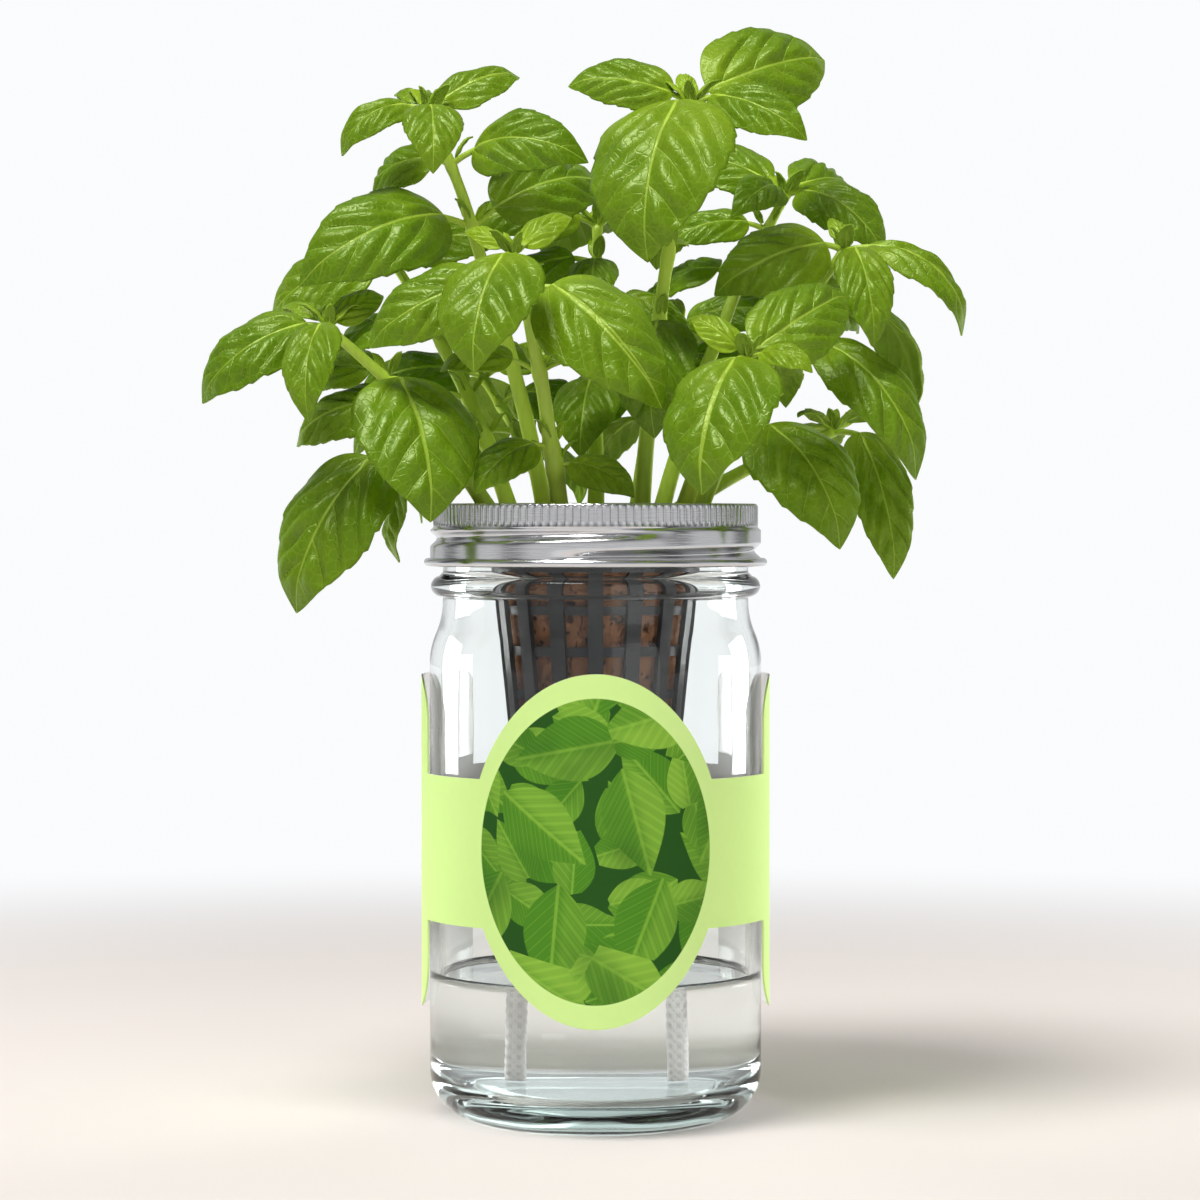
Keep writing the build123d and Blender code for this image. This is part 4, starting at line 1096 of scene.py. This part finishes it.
class PLANTER_OT_stems(Operator):
    """Stems with swollen joints and a woody foot, and the leaf stalks on them"""

    bl_idname = "planter.stems"
    bl_label = "Stems"

    def execute(self, context):
        look = context.scene.planter_plant
        finish = stem_finish(look)
        for number, (shoot, node) in enumerate(zip(SHOOTS, cad_names("basil_stem"))):
            bm = bmesh.new()
            length = (Vector(shoot.tip) - Vector((*shoot.foot, PLUG_TOP_Z))).length
            joints = sorted({leaf.at for leaf in shoot.leaves})
            points = []
            radii = []
            for ring in range(STEM_RINGS + 1):
                share = ring / STEM_RINGS
                point = stem_point(shoot, share)
                drift = point * STEM_SWAY_SCALE
                sway = Vector((noise.noise(drift), noise.noise(drift + STEM_SWAY_SHIFT), 0.0))
                points.append(point + sway * STEM_SWAY * share * (1.0 - share) * 4.0)
                swell = sum(exp(-(((share - at) * length / STEM_JOINT_HALF) ** 2)) for at in joints)
                flare = exp(-share * length / STEM_FLARE_REACH)
                thicker = 1.0 + STEM_JOINT_SWELL * min(swell, 1.0) + STEM_FLARE * flare
                radii.append(stem_thickness(share) * thicker)
            points.insert(0, points[0] - Vector((0.0, 0.0, STEM_SINK)))
            radii.insert(0, radii[0])
            points.append(points[-1] + Vector((0.0, 0.0, STEM_END_RISE)))
            radii.append(radii[-1] * STEM_END_SHARE)
            placed = tube_sheet(bm, points, radii, STEM_SIDES)
            for vert, ring, angle, out in placed:
                vert.co += out * radii[ring] * STEM_CORNER_SHARE * cos(STEM_CORNERS * angle)
            close_tube(bm, placed)
            for leaf in (*shoot.leaves, *bud_leaves(shoot, number)):
                draw_stalk(bm, shoot, leaf)
            finish_piece(f"stem_{number + 1:02d}", bm, "plant", [finish], [node])
        return {"FINISHED"}


# A right-hand screw ridge: its top end, the turns over which it starts and ends, its half widths and height
Ridge = namedtuple("Ridge", "top start end half height")
JAR_THREAD = Ridge(
    THREAD_TOP_Z,
    (0.0, THREAD_FADE),
    (THREAD_TURNS - THREAD_FADE, THREAD_TURNS),
    (THREAD_CREST_HALF, THREAD_ROOT_HALF),
    THREAD_HEIGHT,
)
BAND_GROOVE = Ridge(158.4, (-0.04, 0.03), (1.02, 1.09), (0.0, 2.3), 1.75)


def ridge_height(ridge, angle, height):
    """How far a screw ridge stands out at a place."""
    share = 0.0
    for lap in range(-1, 3):
        turns = (THREAD_TOP_ANGLE - angle) / 360.0 + lap
        away = abs(height - ridge.top + THREAD_PITCH * turns)
        ends = smooth_share(turns, *ridge.start) * (1.0 - smooth_share(turns, *ridge.end))
        share = max(share, ends * (1.0 - smooth_share(away, *ridge.half)))
    return share * ridge.height


def push_out(vert, radius, push):
    """Moves a vert away from the Z axis."""
    share = (radius + push) / radius
    vert.co.x *= share
    vert.co.y *= share


def axis_place(vert):
    """Distance of a vert from the Z axis, and its angle round it in degrees."""
    return hypot(vert.co.x, vert.co.y), degrees(atan2(vert.co.y, vert.co.x))


class PLANTER_OT_glass_jar(Operator):
    """Wide-mouth jar with a thick pushed-up base, a rounded heel, a bead and a screw thread"""

    bl_idname = "planter.glass_jar"
    bl_label = "Glass Jar"

    def execute(self, context):
        look = context.scene.planter_jar
        jar = Section(0.0, JAR_PUSH_UP).line(JAR_PUSH_UP_R, JAR_PUSH_UP, 6)
        for radius, height in JAR_FOOT_SLOPE:
            jar.line(radius, height)
        jar.line(JAR_HEEL_R, 0.0, 2).arc(JAR_HEEL_R, JAR_HEEL_ROUND, 90.0, 20)
        jar.line(JAR_R, JAR_BODY_TOP_Z, 30)
        jar.arc(JAR_R - JAR_SHOULDER_ROUND, JAR_BODY_TOP_Z, JAR_SHOULDER_ANGLE, 10)
        jar.arc(JAR_NECK_R + JAR_SHOULDER_ROUND, JAR_NECK_FOOT_Z, -JAR_SHOULDER_ANGLE, 10)
        jar.line(JAR_NECK_R, JAR_BEAD_FOOT_Z).arc(JAR_FILLET_R, JAR_FILLET_Z, -JAR_FILLET_ANGLE, 4)
        jar.arc(JAR_BEAD_R, JAR_BEAD_Z, JAR_BEAD_ANGLE, 20)
        rim_z = JAR_RIM_Z - JAR_RIM_ROUND
        jar.line(JAR_NECK_R, JAR_NECK_BARE_Z + 0.1, 2).line(JAR_NECK_R, rim_z, 40)
        jar.arc(JAR_NECK_R - JAR_RIM_ROUND, rim_z, 90.0, 6).line(JAR_MOUTH_R + JAR_RIM_ROUND, JAR_RIM_Z, 2)
        jar.arc(JAR_MOUTH_R + JAR_RIM_ROUND, rim_z, 90.0, 6).line(JAR_MOUTH_R, JAR_NECK_FOOT_Z, 16)
        jar.arc(JAR_MOUTH_R + JAR_SHOULDER_ROUND, JAR_NECK_FOOT_Z, JAR_SHOULDER_ANGLE, 10)
        jar.arc(JAR_INNER_R - JAR_SHOULDER_ROUND, JAR_BODY_TOP_Z, -JAR_SHOULDER_ANGLE, 10)
        jar.line(JAR_INNER_R, JAR_INNER_HEEL_Z, 30).arc(JAR_INNER_HEEL_R, JAR_INNER_HEEL_Z, -90.0, 18)
        bm = jar.line(0.0, JAR_FLOOR_Z, 10).spun(160)
        for vert in bm.verts:
            radius, angle = axis_place(vert)
            if radius > JAR_NECK_R - WELD and vert.co.z > JAR_NECK_BARE_Z:
                push_out(vert, radius, ridge_height(JAR_THREAD, angle, vert.co.z))
        finish_piece("jar_glass", bm, "jar", [glass_finish(look)], ["glass_jar"])
        return {"FINISHED"}


WATER_WET = 0.15
WATER_LEVEL_Z = 39.3
WATER_CLIMB = 1.1


class PLANTER_OT_water(Operator):
    """Standing water that wets the glass and climbs a little up its wall"""

    bl_idname = "planter.water"
    bl_label = "Water"

    def execute(self, context):
        look = context.scene.planter_jar
        low_z = JAR_FLOOR_Z - WATER_WET
        edge_z = WATER_LEVEL_Z + WATER_CLIMB
        water = Section(0.0, low_z).line(JAR_INNER_HEEL_R, low_z, 8)
        water.arc(JAR_INNER_HEEL_R, JAR_INNER_HEEL_Z, 90.0, 18).line(JAR_INNER_R + WATER_WET, edge_z, 8)
        water.line(JAR_INNER_R, edge_z).arc(JAR_INNER_R - WATER_CLIMB, edge_z, -90.0, 8)
        bm = water.line(0.0, WATER_LEVEL_Z, 10).spun(128)
        finish_piece("water_body", bm, "jar", [water_finish(look)], ["reservoir_water"])
        return {"FINISHED"}


BAND_LIP_R = 38.55
BAND_LIP_Z = 165.5
BAND_LIP_MIDDLE_Z = 165.75
BAND_TOP_Z = 166.0
BAND_EDGE_R = 42.9
BAND_KNURL_R = 43.7
BAND_KNURL_INNER_R = 43.2
BAND_KNURL_LOW = 160.1
BAND_KNURL_HIGH = 165.2
BAND_KNURL_START = (159.9, 160.6)
BAND_KNURL_END = (165.1, 165.75)
BAND_KNURLED_FROM = (43.4, 159.7)
BAND_KNURL_COUNT = 130
BAND_KNURL_STEPS = 6
BAND_KNURL_DEPTH = 0.42
BAND_KNURL_ROUND = 0.8
BAND_KNURL_LEVEL = 0.72
BAND_STEP_R = 44.5
BAND_STEP_INNER_R = 43.75
BAND_STEP_Z = 159.95
BAND_STEP_LOW_Z = 159.0
BAND_STEP_ANGLE = 50.0
BAND_WALL_R = 44.6
BAND_WALL_INNER_R = 44.1
BAND_WALL_TOP_Z = 159.9
BAND_WALL_LOW_Z = 151.0
BAND_WALL_OUTSIDE = (158.7, 151.35)
BAND_WALL_INSIDE = (151.4, 158.8)
BAND_GROOVE_FADE = (150.9, 152.0)
BAND_CURL_R = 45.2
BAND_CURL_Z = 150.3
BAND_CURL_START = (44.62, 151.2)
BAND_CURL_ANGLE = 302.0


def knurl_push(angle, height):
    """How far the knurl moves the upper wall of the band at a place."""
    ridge = abs(cos(BAND_KNURL_COUNT * radians(angle) / 2.0)) ** BAND_KNURL_ROUND
    fade = smooth_share(height, *BAND_KNURL_START) * (1.0 - smooth_share(height, *BAND_KNURL_END))
    return BAND_KNURL_DEPTH * (ridge - BAND_KNURL_LEVEL) * fade


class PLANTER_OT_screw_band(Operator):
    """Pressed screw band: flat lip, knurled wall, rolled thread and curled lower edge"""

    bl_idname = "planter.screw_band"
    bl_label = "Screw Band"

    def execute(self, context):
        look = context.scene.planter_jar
        wall_high, wall_foot = BAND_WALL_OUTSIDE
        inner_foot, inner_high = BAND_WALL_INSIDE
        band = Section(BAND_LIP_R, BAND_LIP_Z).arc(BAND_LIP_R, BAND_LIP_MIDDLE_Z, -180.0, 6)
        band.line(BAND_EDGE_R, BAND_TOP_Z, 3).arc(BAND_EDGE_R, BAND_KNURL_HIGH, -90.0, 6)
        band.line(BAND_KNURL_R, BAND_KNURL_LOW, 8).line(BAND_STEP_INNER_R, BAND_STEP_Z)
        band.arc(BAND_STEP_R, BAND_STEP_Z, BAND_STEP_ANGLE, 3).line(BAND_STEP_R, BAND_STEP_LOW_Z)
        band.line(BAND_WALL_R, wall_high).line(BAND_WALL_R, wall_foot, 22)
        band.line(*BAND_CURL_START).arc(BAND_CURL_R, BAND_CURL_Z, -BAND_CURL_ANGLE, 20)
        band.line(BAND_WALL_INNER_R, inner_foot, 2).line(BAND_WALL_INNER_R, inner_high, 20)
        band.line(BAND_KNURL_INNER_R, BAND_WALL_TOP_Z, 3).line(BAND_KNURL_INNER_R, BAND_KNURL_HIGH, 6)
        band.line(BAND_EDGE_R, BAND_LIP_Z).line(BAND_LIP_R, BAND_LIP_Z, 3)
        bm = band.spun(BAND_KNURL_COUNT * BAND_KNURL_STEPS)
        for vert in bm.verts:
            radius, angle = axis_place(vert)
            height = vert.co.z
            if radius > BAND_KNURLED_FROM[0] and height > BAND_KNURLED_FROM[1]:
                push_out(vert, radius, knurl_push(angle, height))
            elif BAND_WALL_LOW_Z < height < BAND_WALL_TOP_Z:
                fade = smooth_share(height, *BAND_GROOVE_FADE)
                push_out(vert, radius, -ridge_height(BAND_GROOVE, angle, height) * fade)
        finish_piece("band_tinplate", bm, "band", [tinplate_finish(look)], ["screw_band"])
        return {"FINISHED"}


def dress_node(name, finish):
    """Puts one finish on a solid that is shown as it is."""
    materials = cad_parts[name].data.materials
    materials.clear()
    materials.append(finish)


class PLANTER_OT_net_cup(Operator):
    """Finish of the moulded net cup"""

    bl_idname = "planter.net_cup"
    bl_label = "Net Cup"

    def execute(self, context):
        dress_node("net_cup", plastic_finish(context.scene.planter_jar))
        return {"FINISHED"}


PLUG_FLOOR_Z = 90.8
PLUG_PIT_DEPTH = 0.9
PLUG_PIT_SCALE = 0.55
PLUG_PIT_FINER = 2.3
PLUG_PIT_FINE_SHARE = 0.5
PLUG_PIT_EDGE = (0.22, 0.6)
PLUG_LUMP = 0.28
PLUG_LUMP_SCALE = 1.3
PLUG_LUMP_SINK = 0.2
PLUG_CRUMB = 0.9
PLUG_CRUMB_SCALE = 0.8
PLUG_CRUMB_LEVEL = 0.4
PLUG_TOP_FADE = (157.0, 159.2)
PLUG_WICK_ROOM = (2.4, 3.4)
PLUG_WICK_RISE = 10.0
PLUG_WICK_SKIN = 1.7
WICK_X = 13.5

# Radius, height and mesh rows of each stretch of the plug's outline, from its floor to the middle of its top
PLUG_OUTLINE = (
    (18.4, PLUG_FLOOR_Z, 18),
    (19.0, PLUG_FLOOR_Z + 0.6, 1),
    (25.5, 150.0, 60),
    (31.6, 159.0, 12),
    (31.3, PLUG_TOP_Z - 0.5, 1),
    (0.0, PLUG_TOP_Z - 0.3, 34),
)


class PLANTER_OT_growing_plug(Operator):
    """Plug of pressed cork and coir with a pitted face and a crumbly top"""

    bl_idname = "planter.growing_plug"
    bl_label = "Growing Plug"

    def execute(self, context):
        look = context.scene.planter_jar
        plug = Section(0.0, PLUG_FLOOR_Z)
        for radius, height, rows in PLUG_OUTLINE:
            plug.line(radius, height, rows)
        bm = plug.spun(180)
        pit = bm.verts.layers.float.new("pit")
        bm.normal_update()
        moves = []
        for vert in bm.verts:
            spot = vert.co * PLUG_PIT_SCALE
            hole = noise.noise(spot) + PLUG_PIT_FINE_SHARE * noise.noise(spot * PLUG_PIT_FINER)
            depth = -PLUG_PIT_DEPTH * smooth_share(hole, *PLUG_PIT_EDGE)
            lump = PLUG_LUMP * noise.noise(vert.co * PLUG_LUMP_SCALE) - PLUG_LUMP_SINK
            top = smooth_share(vert.co.z, *PLUG_TOP_FADE)
            crumbs = top * PLUG_CRUMB * (noise.noise(vert.co * PLUG_CRUMB_SCALE) - PLUG_CRUMB_LEVEL)
            moves.append((vert, vert.normal * (depth + lump * (1.0 - top) + crumbs)))
            vert[pit] = depth
        for vert, move in moves:
            vert.co += move
        for side in (-WICK_X, WICK_X):
            for vert in bm.verts:
                away = hypot(vert.co.x - side, vert.co.y)
                if away < PLUG_WICK_ROOM[1] and vert.co.z < PLUG_FLOOR_Z + PLUG_WICK_SKIN:
                    vert.co.z += PLUG_WICK_RISE * (1.0 - smooth_share(away, *PLUG_WICK_ROOM))
        finish_piece("plug_fibre", bm, "plant", [cork_finish(look)], ["growing_plug"])
        return {"FINISHED"}


WICK_DIAMETER = 4.6
WICK_STRANDS = 6
WICK_PITCH = 11.0
WICK_RELIEF = 0.26
WICK_RELIEF_LEVEL = 0.85
WICK_SIDES = 36
WICK_RING_STEP = 0.45
WICK_LEVELS = (101.8, 95.0, 76.0, 42.0, 10.0)
WICKS = {
    "wick_left": (*[(-WICK_X, 0.0)] * 3, (-16.6, -4.4), (-17.0, -5.0)),
    "wick_right": (*[(WICK_X, 0.0)] * 3, (17.1, -5.2), (17.6, -6.0)),
}


def cord_line(name, points):
    """Points of a smooth line along a cord's route, in millimetres."""
    curve = bpy.data.curves.new(name + "_route", "CURVE")
    curve.dimensions = "3D"
    curve.resolution_u = 24
    spline = curve.splines.new("NURBS")
    spline.points.add(len(points) - 1)
    for knot, point in zip(spline.points, points):
        knot.co = (*point, 1.0)
    spline.order_u = 3
    spline.use_endpoint_u = True
    holder = bpy.data.objects.new(name + "_route", curve)
    line = bpy.data.meshes.new_from_object(holder)
    route = [vert.co.copy() for vert in line.vertices]
    bpy.data.objects.remove(holder)
    bpy.data.curves.remove(curve)
    bpy.data.meshes.remove(line)
    return route


class PLANTER_OT_wicks(Operator):
    """Two braided cotton wicks that hang from the cup into the water"""

    bl_idname = "planter.wicks"
    bl_label = "Wicks"

    def execute(self, context):
        finish = cotton_finish(context.scene.planter_jar)
        for name, spots in WICKS.items():
            route = cord_line(name, [(*spot, level) for spot, level in zip(spots, WICK_LEVELS)])
            bm = bmesh.new()
            strand = bm.verts.layers.float.new("strand")
            length = sum((after - before).length for before, after in zip(route, route[1:]))
            rings = int(length / WICK_RING_STEP)
            radius = WICK_DIAMETER / 2.0
            even = even_points(route, rings)
            placed = tube_sheet(bm, even, [radius] * len(even), WICK_SIDES)
            for vert, ring, angle, out in placed:
                run = FULL_TURN * ring * length / rings / WICK_PITCH
                first = WICK_STRANDS * angle / 2.0 + run * 2.0
                second = WICK_STRANDS * angle / 2.0 - run * 2.0
                ridges = (abs(cos(first)), abs(cos(second)))
                height = max(ridges) if sin(first) * sin(second) > 0 else min(ridges)
                vert[strand] = height
                vert.co += out * radius * WICK_RELIEF * (height - WICK_RELIEF_LEVEL)
            close_tube(bm, placed)
            piece = finish_piece(name + "_cord", bm, "cup", [finish], [name])
        return {"FINISHED"}


def even_points(route, count):
    """Points at even steps along a line."""
    lengths = [0.0]
    for before, after in zip(route, route[1:]):
        lengths.append(lengths[-1] + (after - before).length)
    points = []
    index = 0
    for step in range(count + 1):
        goal = lengths[-1] * step / count
        while index < len(route) - 2 and lengths[index + 1] < goal:
            index += 1
        span = lengths[index + 1] - lengths[index]
        points.append(route[index].lerp(route[index + 1], min((goal - lengths[index]) / span, 1.0)))
    return points


# Printed oval of the sleeve, in metres
PRINT_OVAL = {"radius": 0.0455, "half_width": 0.0298, "half_height": 0.0397, "centre_z": 0.0758}


class PLANTER_OT_card_sleeve(Operator):
    """Finish of the card sleeve"""

    bl_idname = "planter.card_sleeve"
    bl_label = "Card Sleeve"

    def execute(self, context):
        dress_node("label_sleeve", card_finish(context.scene.planter_sleeve, PRINT_OVAL))
        return {"FINISHED"}


CAMERA_SPOT = (0.0, -1.0, 0.1616)
CAMERA_AIM = (0.0012, 0.0, 0.14)
CAMERA_HALF_VIEW = 0.162
FLOOR_R = 4.0
FLOOR_FADE = (0.30, 0.75)

# Directions of the surround: where its dark cards stand, and how its light falls off with height
CARD_DEPTH = 0.5
CARD_EDGE = (0.22, 0.05)
MIRROR_HEIGHTS = (0.05, 0.55)
MIRROR_LOW = 0.62
MIRROR_FALL = -0.32
ROOM_HEIGHTS = (0.10, 0.60)
ROOM_FALL = -0.66


Lamp = namedtuple("Lamp", "name spot size level mirrored spread aim_height")
LAMPS = (
    Lamp("key_light", (-0.36, -0.56, 1.50), 0.6, "key", True, 180.0, 0.15),
    Lamp("fill_light", (0.70, -1.25, 0.45), 0.9, "fill", False, 180.0, 0.15),
    Lamp("rim_light", (0.5, 1.0, 1.0), 0.9, "rim", False, 180.0, 0.15),
    Lamp("left_light", (-0.90, 0.60, 0.13), 0.4, "side", False, 70.0, 0.08),
    Lamp("right_light", (0.90, 0.60, 0.13), 0.4, "side", False, 70.0, 0.08),
)


def place_facing(name, data, spot, goal):
    """Light or camera at a spot, facing a goal."""
    placed = bpy.data.objects.new(name, data)
    placed.location = spot
    placed.rotation_euler = (Vector(goal) - Vector(spot)).to_track_quat("-Z", "Y").to_euler()
    bpy.context.scene.collection.objects.link(placed)
    return placed


def add_lamp(lamp, power):
    """Square soft light that faces the planter."""
    data = bpy.data.lights.new(lamp.name, "AREA")
    data.size = lamp.size
    data.energy = power
    data.spread = radians(lamp.spread)
    placed = place_facing(lamp.name, data, lamp.spot, (0.0, 0.0, lamp.aim_height))
    placed.visible_glossy = lamp.mirrored


def floor_finish(look):
    """Pale floor that fades into the backdrop away from the planter."""
    finish, shader, wiring = new_finish("stage_floor")
    set_plain(shader, {"Base Color": rgba(look.floor), "Roughness": 0.7, "Specular IOR Level": 0.2})
    spot = wiring.split(wiring.place())
    away = wiring.math("SQRT", wiring.square_sum(spot[0], spot[1]))
    far = wiring.step(away, *FLOOR_FADE)
    glow = wiring.add("Emission", {"Color": rgba(look.background), "Strength": 1.0})
    seen = seen_directly(wiring)
    nodes = finish.node_tree.nodes
    blend_surface(wiring, wiring.times(far, seen), nodes["Principled BSDF"], glow, nodes["Material Output"])
    return finish


def seen_directly(wiring):
    """One where the camera sees a surface directly, in a mirror or through glass."""
    path = wiring.add("LightPath").outputs
    seen = wiring.plus(path["Is Camera Ray"], path["Is Glossy Ray"])
    return wiring.math("MINIMUM", wiring.plus(seen, path["Is Transmission Ray"]), 1.0)


def studio_world(look):
    """White surround, graded and edged with dark cards for glass and metal, dimmer as plain light."""
    world = bpy.data.worlds.new("studio")
    world.use_nodes = True
    wiring = Wiring(world.node_tree)
    way = wiring.split(wiring.add("TexCoord").outputs["Generated"])
    depth = wiring.math("ABSOLUTE", way[1])
    beside = wiring.math("ABSOLUTE", wiring.math("SUBTRACT", depth, CARD_DEPTH))
    card = wiring.times(wiring.step(beside, *CARD_EDGE), look.card)
    clear = wiring.rest(card)
    high = wiring.scaled(wiring.step(way[2], *MIRROR_HEIGHTS), MIRROR_FALL, MIRROR_LOW)
    path = wiring.add("LightPath").outputs
    through = wiring.times(path["Is Transmission Ray"], clear)
    outside = wiring.rest(path["Is Transmission Ray"])
    glossy = wiring.times(path["Is Glossy Ray"], outside)
    mirrored = wiring.times(wiring.times(glossy, high), clear)
    level = wiring.plus(path["Is Camera Ray"], wiring.plus(through, mirrored))
    room = world.node_tree.nodes["Background"]
    room.inputs["Color"].default_value = (1.0, 1.0, 1.0, 1.0)
    low = wiring.scaled(wiring.step(way[2], *ROOM_HEIGHTS), ROOM_FALL, 1.0)
    wiring.feed(room.inputs["Strength"], wiring.times(low, look.ambient))
    backdrop = wiring.add("Background", {"Color": rgba(look.background), "Strength": level})
    blend_surface(wiring, seen_directly(wiring), room, backdrop, world.node_tree.nodes["World Output"])
    return world


class PLANTER_OT_stage(Operator):
    """Pale floor, soft studio light, white surround and the camera"""

    bl_idname = "planter.stage"
    bl_label = "Stage"

    def execute(self, context):
        look = context.scene.planter_stage
        scene = context.scene
        bm = bmesh.new()
        bmesh.ops.create_circle(bm, cap_ends=True, segments=64, radius=FLOOR_R)
        mesh = bpy.data.meshes.new("stage_floor")
        bm.to_mesh(mesh)
        bm.free()
        mesh.materials.append(floor_finish(look))
        ground = bpy.data.objects.new("stage_floor", mesh)
        scene.collection.objects.link(ground)
        scene.world = studio_world(look)
        for lamp in LAMPS:
            add_lamp(lamp, getattr(look, lamp.level))
        data = bpy.data.cameras.new("camera")
        data.sensor_width = 36.0
        data.lens = data.sensor_width / (2.0 * CAMERA_HALF_VIEW)
        data.clip_start = 0.01
        scene.camera = place_facing("camera", data, CAMERA_SPOT, CAMERA_AIM)
        scene.view_settings.view_transform = "Standard"
        return {"FINISHED"}


PIECES = (
    PLANTER_OT_stage,
    PLANTER_OT_wicks,
    PLANTER_OT_glass_jar,
    PLANTER_OT_water,
    PLANTER_OT_screw_band,
    PLANTER_OT_net_cup,
    PLANTER_OT_growing_plug,
    PLANTER_OT_card_sleeve,
    PLANTER_OT_stems,
    PLANTER_OT_leaves,
)


class PLANTER_PT_sidebar(Panel):
    """Lists the planter's pieces"""

    bl_idname = "PLANTER_PT_sidebar"
    bl_label = "Jar Planter"
    bl_space_type = "VIEW_3D"
    bl_region_type = "UI"
    bl_category = "Planter"

    def draw(self, context):
        for piece in PIECES:
            self.layout.operator(piece.bl_idname)


LOOKS = {
    "planter_plant": PlantLook,
    "planter_jar": JarLook,
    "planter_sleeve": SleeveLook,
    "planter_stage": StageLook,
}


def register():
    """Registers the looks, the pieces and the panel."""
    for name, look in LOOKS.items():
        bpy.utils.register_class(look)
        setattr(bpy.types.Scene, name, PointerProperty(type=look))
    for piece in PIECES:
        bpy.utils.register_class(piece)
    bpy.utils.register_class(PLANTER_PT_sidebar)


def unregister():
    """Takes the panel, the pieces and the looks away again."""
    bpy.utils.unregister_class(PLANTER_PT_sidebar)
    for piece in reversed(PIECES):
        bpy.utils.unregister_class(piece)
    for name, look in LOOKS.items():
        delattr(bpy.types.Scene, name)
        bpy.utils.unregister_class(look)


def main():
    """Builds every piece."""
    register()
    for piece in PIECES:
        group, name = piece.bl_idname.split(".")
        getattr(getattr(bpy.ops, group), name)()


if __name__ == "__main__":
    main()
